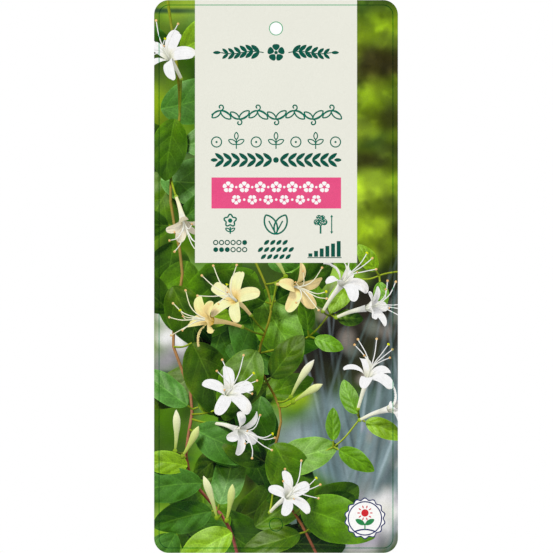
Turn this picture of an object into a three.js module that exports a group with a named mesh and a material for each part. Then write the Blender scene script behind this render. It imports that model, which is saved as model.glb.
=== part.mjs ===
// Hanging plant label: one die-cut sheet of white polypropylene.
//
// The label is a tall, narrow card with rounded corners and a punched round
// hole near its top edge. It hangs from a plastic tie or hook through the hole.
//
// Units are millimetres. The frame is the label as it hangs: +Z up along the
// card's height, +X across its width, and the printed front faces -Y. The
// origin is the centre of the hole, halfway through the sheet.
import * as THREE from "three";

// Driving dimensions.
const CARD_WIDTH = 99;
const CARD_HEIGHT = 224.5;
const SHEET_THICKNESS = 0.5;
const CORNER_RADIUS = 6;
const HOLE_DIAMETER = 5;
const HOLE_INSET = 11.55; // the hole's centre below the top edge

// Segments on each corner arc and round the hole.
const ARC_SEGMENTS = 24;

// White polypropylene sheet under its printed, satin-laminated faces.
const whiteSheet = new THREE.MeshStandardMaterial({
  name: "white_sheet",
  color: "#f2f2ec",
  roughness: 0.4,
  metalness: 0,
});

/** Card outline in its own plane: x across, y up, centred on the hole. */
function cardOutline() {
  const right = CARD_WIDTH / 2;
  const left = -right;
  const top = HOLE_INSET;
  const bottom = top - CARD_HEIGHT;
  const r = CORNER_RADIUS;
  const quarter = Math.PI / 2;

  const outline = new THREE.Shape();
  outline.moveTo(left + r, bottom);
  outline.lineTo(right - r, bottom);
  outline.absarc(right - r, bottom + r, r, -quarter, 0);
  outline.lineTo(right, top - r);
  outline.absarc(right - r, top - r, r, 0, quarter);
  outline.lineTo(left + r, top);
  outline.absarc(left + r, top - r, r, quarter, 2 * quarter);
  outline.lineTo(left, bottom + r);
  outline.absarc(left + r, bottom + r, r, 2 * quarter, 3 * quarter);
  return outline;
}

/** Punched hang hole, centred on the origin of the card's plane. */
function punchedHole() {
  const hole = new THREE.Path();
  hole.absarc(0, 0, HOLE_DIAMETER / 2, 0, 2 * Math.PI, true);
  return hole;
}

/** The whole label: the sheet with its hang hole punched through it. */
function labelCard() {
  const outline = cardOutline();
  outline.holes.push(punchedHole());

  const sheet = new THREE.ExtrudeGeometry(outline, {
    depth: SHEET_THICKNESS,
    bevelEnabled: false,
    curveSegments: ARC_SEGMENTS,
  });
  sheet.translate(0, 0, -SHEET_THICKNESS / 2);

  const card = new THREE.Mesh(sheet, whiteSheet);
  card.name = "label_card";
  card.rotation.x = Math.PI / 2; // stands the card up, front face towards -Y
  return card;
}

const plantLabel = new THREE.Group();
plantLabel.name = "plant_label";
plantLabel.add(labelCard());

export default plantLabel;
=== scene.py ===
"""Looks of a hanging plant label: a die-cut plastic card, printed on both faces.

* The sheet has softened die-cut edges and a punched hang hole.
* The front has a picture of a climbing plant in blossom, and over it a pale
  panel with line ornaments, a pink band, three pictograms and a seal.
* The back has a plain one-colour design with blank writing rules.

The picture is not a bitmap. A small plant is grown in code as curved leaf,
petal and stem skins, daylight is traced over it, and the face is cut along the
plant's visible outlines into flat areas of ink. Veins, streaks and the grain
of the ink come from node materials.

Lengths are millimetres from the card's centre (x right, y up, z out of the face
towards the reader) until a mesh is made in metres.
"""

from __future__ import annotations

import logging
import math
from collections import defaultdict
from collections.abc import Callable, Iterable, Sequence
from dataclasses import dataclass
from enum import Enum

import bpy
import numpy as np
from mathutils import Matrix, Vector
from mathutils.bvhtree import BVHTree
from mathutils.geometry import delaunay_2d_cdt

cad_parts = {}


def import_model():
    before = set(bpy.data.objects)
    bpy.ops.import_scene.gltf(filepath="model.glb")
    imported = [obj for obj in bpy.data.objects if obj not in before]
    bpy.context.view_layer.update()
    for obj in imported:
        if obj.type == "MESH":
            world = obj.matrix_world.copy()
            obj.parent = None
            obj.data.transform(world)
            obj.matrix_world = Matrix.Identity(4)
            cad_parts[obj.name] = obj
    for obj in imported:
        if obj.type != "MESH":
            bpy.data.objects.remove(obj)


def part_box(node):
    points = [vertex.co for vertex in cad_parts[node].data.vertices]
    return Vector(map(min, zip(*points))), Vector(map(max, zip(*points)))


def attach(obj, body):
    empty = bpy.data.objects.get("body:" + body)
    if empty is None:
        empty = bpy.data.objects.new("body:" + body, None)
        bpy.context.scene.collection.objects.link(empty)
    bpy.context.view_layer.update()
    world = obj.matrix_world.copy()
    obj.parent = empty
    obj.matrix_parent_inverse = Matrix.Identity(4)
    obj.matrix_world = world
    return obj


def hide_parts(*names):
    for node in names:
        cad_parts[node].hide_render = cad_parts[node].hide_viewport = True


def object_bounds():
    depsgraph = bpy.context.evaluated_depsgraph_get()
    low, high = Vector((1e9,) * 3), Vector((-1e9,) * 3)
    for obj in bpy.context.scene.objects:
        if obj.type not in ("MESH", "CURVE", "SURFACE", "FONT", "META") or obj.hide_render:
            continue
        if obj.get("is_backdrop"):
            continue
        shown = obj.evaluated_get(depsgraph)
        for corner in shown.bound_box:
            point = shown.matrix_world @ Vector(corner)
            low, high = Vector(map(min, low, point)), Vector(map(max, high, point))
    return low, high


LOG = logging.getLogger("plant_label")

MM = 0.001
GOLDEN_TURN = math.pi * (3 - math.sqrt(5))
Array = np.ndarray
Point = Sequence[float]
Span = tuple[float, float]
Tint = tuple[float, float, float, float]
Socket = bpy.types.NodeSocket


# ---- arithmetic


def linear(red: float, green: float, blue: float) -> Array:
    """Returns the linear-light colour of an sRGB display colour given in 0 to 255."""
    share = np.array([red, green, blue], float) / 255
    return np.where(share <= 0.04045, share / 12.92, ((share + 0.055) / 1.055) ** 2.4)


def unit(vectors: Array) -> Array:
    """Returns the vectors along the last axis at length one."""
    return vectors / np.maximum(np.linalg.norm(vectors, axis=-1, keepdims=True), 1e-12)


def smooth_step(start: float, end: float, value: Array) -> Array:
    """Returns 0 before start and 1 past end, with a smooth rise between."""
    share = np.clip((value - start) / (end - start), 0, 1)
    return share * share * (3 - 2 * share)


def blend(first: Array, second: Array, share: Array) -> Array:
    """Returns first where share is 0 and second where it is 1."""
    share = np.asarray(share)[..., None]
    return first * (1 - share) + second * share


def mottle(across: Array, along: Array, seed: Array) -> Array:
    """Returns a smooth pattern from -1 to 1, made of a few crossed waves.

    Args:
        across: coordinates on one axis.
        along: coordinates on the other axis.
        seed: a number that shifts the pattern.
    """
    first = np.sin(1.7 * across + 2.3 * along + 6.1 * seed)
    second = np.sin(-2.9 * across + 1.3 * along + 4.7 * seed + 1.0)
    third = np.sin(4.1 * across - 3.7 * along + 2.9 * seed + 2.0)
    return (first * second + 0.5 * third) / 1.5


def smooth_curve(controls: Sequence[Point], count: int) -> Array:
    """Returns evenly numbered points on a Catmull-Rom curve.

    Args:
        controls: the points that the curve runs through.
        count: how many points to return.
    """
    knots = np.asarray(controls, float)
    knots = np.vstack([2 * knots[0] - knots[1], knots, 2 * knots[-1] - knots[-2]])
    where = np.linspace(0, len(knots) - 3 - 1e-9, count)
    first = where.astype(int)
    t = (where - first)[:, None]
    a, b, c, d = (knots[first + step] for step in range(4))
    return 0.5 * (2 * b + (c - a) * t + (2 * a - 5 * b + 4 * c - d) * t**2 + (3 * b - a - 3 * c + d) * t**3)


def cosine_steps(count: int) -> Array:
    """Returns shares from 0 to 1 that crowd towards both ends."""
    return (1 - np.cos(np.pi * np.linspace(0, 1, count))) / 2


def walked(ways: Array, share: Array, length: float) -> Array:
    """Returns the path from the origin that heads the given way at each share of its length."""
    steps = np.diff(share)[:, None] * length * (ways[1:] + ways[:-1]) / 2
    return np.vstack([np.zeros(3), np.cumsum(steps, axis=0)])


def blade_profile(share: Array, root_power: float, tip_power: float) -> Array:
    """Returns a blade's half-width, at most 1, along its length."""
    widest = root_power / (root_power + tip_power)
    return (share / widest) ** root_power * ((1 - share) / (1 - widest)) ** tip_power


def heading_frame(ways: Array, roll: float) -> tuple[Array, Array]:
    """Returns the side and face directions along a spine.

    Args:
        ways: the spine's direction at each step.
        roll: the turn about the spine, in radians.
    """
    towards = np.array([0.0, 0.0, 1.0])
    face = unit(towards - ways * (ways @ towards)[:, None])
    side = np.cross(face, ways)
    return side * math.cos(roll) + face * math.sin(roll), face * math.cos(roll) - side * math.sin(roll)


def spot(x: float, y: float, degrees: float, distance: float = 1.0) -> Span:
    """Returns the flat point at a distance and a bearing from another."""
    return x + distance * math.cos(math.radians(degrees)), y + distance * math.sin(math.radians(degrees))


def in_row(middle: float, count: int, step: float) -> list[float]:
    """Returns evenly spaced places about a middle."""
    return [middle + (number - (count - 1) / 2) * step for number in range(count)]


# ---- the plant's skins


class Tissue(Enum):
    """What a skin of the plant is made of."""

    LEAF = "leaf"
    STEM = "stem"
    PETAL = "petal"
    BUD = "bud"
    STAMEN = "stamen"


@dataclass
class Skin:
    """One curved skin of the plant: a blade, a petal or the near half of a tube.

    points has a row for each step from root to tip, and a column for each step
    from one margin to the other.
    """

    tissue: Tissue
    points: Array
    root_tint: Array
    tip_tint: Array
    seed: float = 0.0
    veins: float = 0.0

    def shares(self) -> tuple[Array, Array]:
        """Returns each point's share from root to tip, and its place from -1 to 1 between the margins."""
        rows, columns, _ = self.points.shape
        return np.repeat(cosine_steps(rows), columns), np.tile(np.linspace(-1, 1, columns), rows)

    def normals(self) -> Array:
        """Returns each point's normal, turned to the reader's side."""
        side = np.gradient(self.points, axis=1)
        side[np.linalg.norm(side, axis=-1) < 1e-6] = (1e-6, 0, 0)
        normals = unit(np.cross(np.gradient(self.points, axis=0), side)).reshape(-1, 3)
        return normals * np.where(normals[:, 2:] < 0, -1, 1)

    def triangles(self) -> Array:
        """Returns the corner numbers of the skin's triangles."""
        rows, columns, _ = self.points.shape
        first = (np.arange(rows - 1)[:, None] * columns + np.arange(columns - 1)).ravel()
        right, below = first + 1, first + columns
        return np.vstack([np.stack([first, right, below], 1), np.stack([right, below + 1, below], 1)])

    def outline(self) -> Array:
        """Returns the closed line of points round the skin's margin."""
        grid = self.points
        return np.vstack([grid[:, 0], grid[-1, 1:], grid[-2::-1, -1], grid[0, -2::-1]])


class LeafTone(Enum):
    """Leaf greens, as display colours of the blade in full light."""

    DEEP = (50, 80, 10)
    DARK = (62, 99, 24)
    MID = (86, 131, 52)
    FRESH = (114, 154, 60)
    YOUNG = (140, 174, 58)
    COOL = (70, 116, 60)


@dataclass(frozen=True)
class Leaf:
    """One leaf blade. Angles are degrees.

    heading is the way it points in the picture, pitch lifts its tip towards the
    reader, roll turns it about its midrib, bend curves it in the picture and
    droop curves its tip away from the reader.
    """

    place: Point
    heading: float
    length: float
    breadth: float
    pitch: float = 0.0
    roll: float = 0.0
    bend: float = 0.0
    droop: float = 20.0
    fold: float = 14.0
    tone: LeafTone = LeafTone.DARK
    seed: float = 0.0

    ROWS = 25
    COLUMNS = 13
    VEINS = 4.0
    ROOT_POWER = 0.6
    TIP_POWER = 0.78
    CURL = 0.22
    RIPPLE = 0.07
    RIPPLES = 2.1
    ROOT_LIGHTNESS = 1.08
    # the ranges that a random leaf is drawn from
    SLENDERNESS = (0.46, 0.62)
    ROLLS = (-30, 30)
    BENDS = (-22, 22)
    DROOPS = (10, 52)
    FOLDS = (5, 21)

    @classmethod
    def drawn(
        cls, draw: np.random.Generator, place: Point, heading: float, length: float,
        tones: Sequence[LeafTone], pitch: Span = (-20, 25),
    ) -> Leaf:
        """Returns a leaf whose shape, pose and tone are drawn at random.

        Args:
            draw: the random numbers to use.
            place: its root.
            heading: the way it points.
            length: its length.
            tones: the greens to choose from.
            pitch: the range of its pitch.
        """
        return cls(
            place, heading, length, length * draw.uniform(*cls.SLENDERNESS), draw.uniform(*pitch),
            draw.uniform(*cls.ROLLS), draw.uniform(*cls.BENDS), draw.uniform(*cls.DROOPS),
            draw.uniform(*cls.FOLDS),
            tones[int(draw.integers(len(tones)))], draw.uniform(0, 1),
        )

    def grow(self) -> Skin:
        """Returns the blade's skin."""
        share = cosine_steps(self.ROWS)
        heading = np.radians(self.heading + self.bend * (share - 0.35))
        pitch = np.radians(self.pitch - self.droop * share)
        ways = np.stack([np.cos(pitch) * np.cos(heading), np.cos(pitch) * np.sin(heading), np.sin(pitch)], 1)
        spine = np.array(self.place) + walked(ways, share, self.length)
        side, face = heading_frame(ways, math.radians(self.roll))

        across = np.linspace(-1, 1, self.COLUMNS)
        reach = (self.breadth / 2 * blade_profile(share, self.ROOT_POWER, self.TIP_POWER))[:, None] * across
        fold = math.radians(self.fold)
        waves = np.sin(2 * math.pi * (self.RIPPLES * share[:, None] + self.seed) + 1.7 * np.sign(across))
        rise = np.abs(reach) * math.sin(fold) - self.CURL * reach**2 / self.breadth * 2
        rise = rise + self.RIPPLE * self.breadth / 2 * waves * across**2 * np.sin(math.pi * share[:, None])
        points = spine[:, None] + side[:, None] * (reach * math.cos(fold))[..., None]
        points = points + face[:, None] * rise[..., None]
        green = linear(*self.tone.value)
        return Skin(Tissue.LEAF, points, green * self.ROOT_LIGHTNESS, green, self.seed, self.VEINS)


@dataclass(frozen=True)
class Tube:
    """The near half of a round stem, bud, filament or anther, along a curve."""

    tissue: Tissue
    controls: Sequence[Point]
    radii: Sequence[float]
    root_tint: Point
    tip_tint: Point
    rows: int = 12
    columns: int = 5
    blunt: bool = False

    BLUNTNESS = 6

    def grow(self) -> Skin:
        """Returns the tube's near skin."""
        spine = smooth_curve(self.controls, 4 * self.rows)
        share = cosine_steps(self.rows)
        run = np.concatenate([[0], np.cumsum(np.linalg.norm(np.diff(spine, axis=0), axis=1))])
        spine = np.stack([np.interp(share * run[-1], run, axis) for axis in spine.T], 1)
        side, face = heading_frame(unit(np.gradient(spine, axis=0)), 0)
        radius = np.interp(share, np.linspace(0, 1, len(self.radii)), self.radii)
        if self.blunt:
            radius = radius * np.sqrt(np.clip(1 - (2 * share - 1) ** self.BLUNTNESS, 0, 1))
        turn = np.linspace(-1, 1, self.columns) * math.pi / 2
        points = spine[:, None] + side[:, None] * (radius[:, None] * np.sin(turn))[..., None]
        points = points + face[:, None] * (radius[:, None] * np.cos(turn))[..., None]
        return Skin(self.tissue, points, linear(*self.root_tint), linear(*self.tip_tint))


STALK_TINTS = (122, 142, 58), (148, 172, 76)
STALK_RADII = 0.46, 0.38, 0.42


def stalk(start: Point, end: Point, sag: float = 0.0) -> Skin:
    """Returns a thin green stalk.

    Args:
        start: where it leaves the stem.
        end: the root of what it carries.
        sag: how far its middle hangs.
    """
    middle = (np.asarray(start) + end) / 2 - (0, sag, 0)
    return Tube(Tissue.STEM, (start, middle, end), STALK_RADII, *STALK_TINTS, rows=9).grow()


def knob(tissue: Tissue, place: Array, way: Array, radius: float, root_tint: Point, tip_tint: Point) -> Skin:
    """Returns a small blunt lump.

    Args:
        tissue: what it is made of.
        place: its middle.
        way: from its middle to its tip.
        radius: its radius at the middle.
        root_tint: its display colour at the root.
        tip_tint: its display colour at the tip.
    """
    radii = 0.8 * radius, radius, 0.8 * radius
    ends = place - way, place, place + way
    return Tube(tissue, ends, radii, root_tint, tip_tint, rows=7, blunt=True).grow()


@dataclass(frozen=True)
class Blossom:
    """One open flower: a star of narrow petals on a slim tube, with long stamens.

    facing is the way it looks, openness runs from a cup at 0 to a flat star at
    1, and cream from a fresh white flower at 0 to an aged one at 1.
    """

    place: Point
    facing: Point
    petal_length: float
    openness: float
    turn: float
    cream: float
    stalk_to: Point

    PETALS = 5
    STAMENS = 6
    ROWS = 17
    COLUMNS = 9
    TUBE_LENGTH = 13.0
    TUBE_SAG = 1.2
    TUBE_RADII = (0.6, 0.68, 0.8, 1.0, 1.45)
    CALYX_RADIUS = 0.86
    PETAL_SHARE = 0.4
    RUFFLE = 0.03
    GROOVE = 0.16
    OVERLAP_ROLL = 0.21
    THROAT_RISE = math.radians(58)
    CUP_RISE = math.radians(64)
    RECURVE = math.radians(70)
    FILAMENT_RADII = (0.27, 0.21, 0.17)
    ARCH = ((0, 0.02, 0), (0.4, 0.1, 0), (0.76, 0.55, -0.07), (0.95, 1.15, -0.03))

    # display colours; a pair is for the fresh and the aged flower
    THROAT = ((238, 242, 218), (246, 194, 86))
    PETAL = ((254, 253, 251), (253, 224, 152))
    TUBE_ROOT = ((226, 230, 196), (232, 192, 120))
    TUBE_MOUTH = ((250, 250, 242), (250, 222, 150))
    FILAMENT_TIP = ((254, 254, 250), (254, 236, 184))
    FILAMENT_ROOT = (240, 242, 222)
    # display colours at the root and at the tip
    STIGMA = ((214, 220, 48), (194, 206, 36))
    ANTHER = ((230, 204, 156), (208, 158, 104))
    CALYX = ((118, 150, 56), (156, 184, 86))

    @property
    def axis(self) -> Array:
        """Returns the flower's facing direction."""
        return unit(np.array(self.facing, float))

    def radial(self, degrees: float) -> tuple[Array, Array]:
        """Returns the outward and sideways directions on one side of the flower.

        Args:
            degrees: the angle round the flower's axis.
        """
        helper = (0.0, 1.0, 0.0) if abs(self.axis[1]) < 0.9 else (1.0, 0.0, 0.0)
        first = unit(np.cross(helper, self.axis))
        second = np.cross(self.axis, first)
        cos, sin = spot(0, 0, degrees)
        return first * cos + second * sin, second * cos - first * sin

    def hue(self, fresh: Point, aged: Point) -> Array:
        """Returns a display colour between the fresh and the aged flower's."""
        return np.array(fresh) * (1 - self.cream) + np.array(aged) * self.cream

    def petal(self, number: int) -> Skin:
        """Returns one petal.

        Args:
            number: which petal; each has its own length, twist and ruffle.
        """
        seed = 0.5 * math.sin(12.9 * number + self.place[0])
        outward, sideways = self.radial(self.turn + 360 * number / self.PETALS + 9 * seed)
        length = self.petal_length * (1 + 0.14 * seed)
        share = cosine_steps(self.ROWS)
        rise = self.THROAT_RISE * (1 - share) ** 2 + self.CUP_RISE * (1 - self.openness)
        rise = rise - self.RECURVE * self.openness * (1 + 0.5 * seed) * share**2
        ways = outward * np.cos(rise)[:, None] + self.axis * np.sin(rise)[:, None]
        spine = np.array(self.place) + outward * 0.6 + walked(ways, share, length)
        spine = spine + sideways * (0.1 * length * seed * share**2)[:, None]
        face = self.axis * np.cos(rise)[:, None] - outward * np.sin(rise)[:, None]
        roll = self.OVERLAP_ROLL + 0.5 * seed
        side = sideways * math.cos(roll) + face * math.sin(roll)
        face = face * math.cos(roll) - sideways * math.sin(roll)

        across = np.linspace(-1, 1, self.COLUMNS)
        half = length * self.PETAL_SHARE / 2 * (0.22 * (1 - share) + 0.9 * blade_profile(share, 0.8, 0.42))
        reach = half[:, None] * across
        ruffle = np.sin(4 * across + 9 * seed) * share[:, None] ** 2 * across**2
        groove = np.exp(-((across / self.GROOVE) ** 2)) * share[:, None]
        lift = 0.9 * reach**2 / length + self.RUFFLE * length * (ruffle - groove)
        points = spine[:, None] + side[:, None] * reach[..., None] + face[:, None] * lift[..., None]
        throat, tip = (linear(*self.hue(*pair)) for pair in (self.THROAT, self.PETAL))
        return Skin(Tissue.PETAL, points, throat, tip, seed)

    def stamen(self, number: int) -> list[Skin]:
        """Returns one arched filament and the anther on its end.

        Args:
            number: which filament; 0 is the style, which ends in the stigma.
        """
        outward, _ = self.radial(self.turn + math.degrees(GOLDEN_TURN) * number)
        spread = 0.22 + 0.52 * (number * 0.618 % 1)
        reach = self.petal_length * (1.5 if number == 0 else 1.1 + 0.4 * (number * 0.381 % 1))
        knots = [
            self.place + reach * (self.axis * ahead + outward * spread * out + (0, up, 0))
            for ahead, out, up in self.ARCH
        ]
        tints = self.FILAMENT_ROOT, self.hue(*self.FILAMENT_TIP)
        filament = Tube(Tissue.STAMEN, knots, self.FILAMENT_RADII, *tints, rows=14).grow()
        way = unit(knots[3] - knots[2] + np.array([0.3, 0.5, 0.0]) * math.sin(3.0 * number)) * 0.55
        if number == 0:
            return [filament, knob(Tissue.STAMEN, knots[3], way * 0.9, 0.62, *self.STIGMA)]
        return [filament, knob(Tissue.STAMEN, knots[3], way, 0.5, *self.ANTHER)]

    def tube(self) -> list[Skin]:
        """Returns the slim tube behind the petals, its calyx and its stalk."""
        root = np.array(self.place, float)
        back = root - self.axis * self.TUBE_LENGTH - (0, self.TUBE_SAG, 0)
        middle = (root + back) / 2 + (0, 0.5, 0)
        tints = self.hue(*self.TUBE_ROOT), self.hue(*self.TUBE_MOUTH)
        spine = back, middle, root + self.axis * 0.8
        tube = Tube(Tissue.BUD, spine, self.TUBE_RADII, *tints, rows=14, columns=7).grow()
        calyx = knob(Tissue.BUD, back, self.axis, self.CALYX_RADIUS, *self.CALYX)
        return [tube, calyx, stalk(self.stalk_to, back, 0.4)]

    def grow(self) -> list[Skin]:
        """Returns every skin of the flower."""
        skins = self.tube() + [self.petal(number) for number in range(self.PETALS)]
        for number in range(self.STAMENS + 1):
            skins += self.stamen(number)
        return skins


@dataclass(frozen=True)
class Bud:
    """A closed bud: a slim pale club on a short green foot."""

    foot: Point
    heading: float
    length: float
    bend: float
    ripe: float

    RISE = 0.25
    RADII = (0.55, 0.6, 0.72, 0.95, 1.35, 1.62, 1.3, 0.45)
    ROOT_TINT = (152, 176, 72)
    GREEN_TIP = (190, 206, 120)
    RIPE_TIP = (250, 248, 226)
    FOOT_RADIUS = 0.95
    FOOT_TINTS = ((104, 134, 48), (130, 160, 64))

    def grow(self) -> list[Skin]:
        """Returns the bud's skin and its foot."""
        heading = np.radians(self.heading + self.bend * np.linspace(0, 1, 5))
        ways = np.stack([np.cos(heading), np.sin(heading), np.full(5, self.RISE)], 1)
        spine = np.array(self.foot) + np.vstack([np.zeros(3), np.cumsum(ways[:-1], axis=0)]) * self.length / 4
        tip = np.array(self.GREEN_TIP) * (1 - self.ripe) + np.array(self.RIPE_TIP) * self.ripe
        tints = self.ROOT_TINT, tip
        club = Tube(Tissue.BUD, spine, self.RADII, *tints, rows=16, columns=7, blunt=True).grow()
        return [club, knob(Tissue.BUD, spine[0], ways[0], self.FOOT_RADIUS, *self.FOOT_TINTS)]


@dataclass(frozen=True)
class Vine:
    """A twining stem with opposite leaves at its nodes."""

    controls: Sequence[Point]
    radius: float
    root_tint: Point
    tip_tint: Point
    nodes: Sequence[float]
    leaf_length: float
    tones: Sequence[LeafTone]
    seed: int

    STEPS = 200
    TAPER = (1.0, 0.9, 0.8)
    STALK_LENGTH = 2.6
    # the ranges that each leaf's lean, share of leaf_length and pitch are drawn from
    LEANS = (52, 82)
    LENGTHS = (0.82, 1.16)
    PITCHES = (-6, 34)

    def spine(self) -> Array:
        """Returns the stem's centre line."""
        return smooth_curve(self.controls, self.STEPS)

    def leaf_pair(self, share: float, draw: np.random.Generator) -> list[Skin]:
        """Returns the two blades at one node, with their stalks.

        Args:
            share: the node's place along the stem.
            draw: the random numbers to use.
        """
        spine = self.spine()
        number = int(share * (self.STEPS - 1))
        way = spine[min(number + 4, self.STEPS - 1)] - spine[max(number - 4, 0)]
        root = spine[number] + (0, 0, 0.2)
        skins = []
        for side in (-1, 1):
            heading = math.degrees(math.atan2(way[1], way[0])) + side * draw.uniform(*self.LEANS)
            end = root + self.STALK_LENGTH * np.array([*spot(0, 0, heading), 0.5])
            length = self.leaf_length * draw.uniform(*self.LENGTHS)
            leaf = Leaf.drawn(draw, end, heading, length, self.tones, self.PITCHES)
            skins += [stalk(root, end), leaf.grow()]
        return skins

    def grow(self) -> list[Skin]:
        """Returns the stem's skin and all its leaves."""
        draw = np.random.default_rng(self.seed)
        radii = [self.radius * share for share in self.TAPER]
        skins = [Tube(Tissue.STEM, self.controls, radii, self.root_tint, self.tip_tint, rows=40).grow()]
        for share in self.nodes:
            skins += self.leaf_pair(share, draw)
        return skins


@dataclass(frozen=True)
class LeafField:
    """Loose leaves strewn over part of the picture."""

    x: float
    y: float
    half_width: float
    half_height: float
    count: int
    lengths: Span = (28, 44)
    depths: Span = (-24, -2)
    tones: Sequence[LeafTone] = (LeafTone.DEEP, LeafTone.COOL, LeafTone.DARK, LeafTone.MID, LeafTone.COOL)

    HEADINGS = (-150, 60)

    def grow(self, draw: np.random.Generator) -> list[Skin]:
        """Returns the leaves, each drawn at random.

        Args:
            draw: the random numbers to use.
        """
        skins = []
        for _ in range(self.count):
            x = self.x + self.half_width * draw.uniform(-1, 1)
            y = self.y + self.half_height * draw.uniform(-1, 1)
            place = (x, y, draw.uniform(*self.depths))
            heading, length = draw.uniform(*self.HEADINGS), draw.uniform(*self.lengths)
            skins.append(Leaf.drawn(draw, place, heading, length, self.tones).grow())
        return skins


# ---- light on the plant


@dataclass
class Samples:
    """Places on the plant's skins, as the reader sees them."""

    skin: Array
    place: Array
    normal: Array
    way: Array
    along: Array
    across: Array


class StillLife:
    """All the plant's skins together, with the daylight that falls on them."""

    EYE_HEIGHT = 200.0
    LIFT = 0.12
    SUN = unit(np.array([-0.42, 0.66, 0.78]))
    SUN_SPREAD = 0.13
    SUN_REACH = 70.0
    SKY_REACH = 22.0
    # how many rays go to the sun and to the sky
    RAY_COUNTS = 9, 14
    ROUGH_COUNTS = 3, 6
    SUN_TINT = np.array([1.08, 1.0, 0.84])
    GLOW = np.array([1.0, 1.12, 0.4])
    QUILTING = 0.085
    VEIN_SWEEP = 0.34
    HAZE = np.array([0.01, 0.012, 0.016])
    GREY = (0.2126, 0.7152, 0.0722)
    RICHNESS = 1.1
    BRIGHTEST = 0.93

    WRAP = 0.45
    AMBIENT = 0.03

    # of pale tissue, then of leaves and stems
    SUN_GAIN = (0.58, 1.12)
    SKY_GAIN = (0.76, 0.45)
    SKY_POWER = (0.75, 1.8)
    SKY_TINT = ((0.98, 1.0, 1.04), (0.94, 1.0, 0.82))
    # of leaves, then of all else
    MOTTLE = (0.15, 0.02)
    THROUGH = (0.34, 0.2)
    SHEEN_TINT = (0.9, 1.0, 0.7)

    def __init__(self, skins: list[Skin]) -> None:
        """Joins the skins into one set of triangles and a tree for tracing.

        Args:
            skins: every skin of the plant.
        """
        sizes = [skin.points[..., 0].size for skin in skins]
        patches = [skin.triangles() + first for skin, first in zip(skins, np.cumsum([0, *sizes[:-1]]))]
        self.skins = skins
        self.triangles = np.vstack(patches)
        self.owners = np.repeat(np.arange(len(skins)), [len(patch) for patch in patches])
        along, across = (np.concatenate(shares) for shares in zip(*(skin.shares() for skin in skins)))
        self.corners = Samples(
            np.repeat(np.arange(len(skins)), sizes),
            np.vstack([skin.points.reshape(-1, 3) for skin in skins]),
            np.vstack([skin.normals() for skin in skins]),
            np.vstack([unit(np.gradient(skin.points, axis=0)).reshape(-1, 3) for skin in skins]),
            along, across,
        )
        places, triangles = self.corners.place.tolist(), self.triangles.tolist()
        self.tree = BVHTree.FromPolygons(places, triangles, all_triangles=True)
        traits = ((skin.root_tint, skin.tip_tint, skin.seed, skin.veins, skin.tissue.value) for skin in skins)
        self.root_tints, self.tip_tints, self.seeds, self.veins, self.tissues = map(np.array, zip(*traits))
        steps = (np.diff(skin.points.mean(1), axis=0) for skin in skins)
        spans = (skin.points[:, 0] - skin.points[:, -1] for skin in skins)
        self.lengths = np.array([np.linalg.norm(step, axis=1).sum() for step in steps])
        self.breadths = np.array([np.linalg.norm(span, axis=1).max() for span in spans])

    def seen(self, points: Array) -> Array:
        """Returns the number of the triangle that the reader sees at each flat point, or -1.

        Args:
            points: places in the picture, in mm.
        """
        cast, down = self.tree.ray_cast, Vector((0, 0, -1))
        found = (cast((x, y, self.EYE_HEIGHT), down)[2] for x, y in points.tolist())
        return np.array([-1 if number is None else number for number in found], int)

    def hidden(self, places: Array, lift: float) -> Array:
        """Returns whether something lies more than lift in front of each place."""
        cast, up = self.tree.ray_cast, Vector((0, 0, 1))
        return np.array([cast((x, y, z + lift), up)[2] is not None for x, y, z in places.tolist()], bool)

    def sample(self, points: Array, triangles: Array) -> Samples:
        """Returns the skin's state where each flat point falls in its triangle.

        Args:
            points: places in the picture, in mm.
            triangles: the number of the triangle at each place.
        """
        corners = self.triangles[triangles]
        a, b, c = (self.corners.place[corners[:, turn]] for turn in range(3))
        ab, ac, ap = (b - a)[:, :2], (c - a)[:, :2], points - a[:, :2]
        area = ab[:, 0] * ac[:, 1] - ab[:, 1] * ac[:, 0]
        area = np.where(np.abs(area) < 1e-9, 1e-9, area)
        second = np.clip((ap[:, 0] * ac[:, 1] - ap[:, 1] * ac[:, 0]) / area, 0, 1)
        third = np.clip((ab[:, 0] * ap[:, 1] - ab[:, 1] * ap[:, 0]) / area, 0, 1)
        weights = np.stack([1 - second - third, second, third], 1)
        known = self.corners
        place, normal, way, along, across = (
            np.einsum("nk,nk...->n...", weights, values[corners])
            for values in (known.place, known.normal, known.way, known.along, known.across)
        )
        return Samples(self.owners[triangles], place, unit(normal), unit(way), along, across)

    def vein_phase(self, at: Samples) -> Array:
        """Returns each sample's place in the run of side veins, which curve towards the tip."""
        swept = at.along - self.VEIN_SWEEP * np.abs(at.across) ** 1.2
        return self.veins[at.skin] * swept + self.seeds[at.skin]

    def embossed(self, at: Samples) -> Array:
        """Returns the normals, tilted on leaf blades by the quilting between veins.

        Args:
            at: the samples.
        """
        spread = np.abs(at.across)
        slope = self.QUILTING * (1 - spread**4) * np.sin(2 * math.pi * self.vein_phase(at))
        slope = slope * 2 * math.pi * self.veins[at.skin]
        lean = -0.41 * spread**0.2 * np.sign(at.across) / (self.breadths[at.skin] / 2)
        side = np.cross(at.normal, at.way)
        along = at.way / self.lengths[at.skin][:, None]
        return unit(at.normal - (along + side * lean[:, None]) * slope[:, None])

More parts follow.
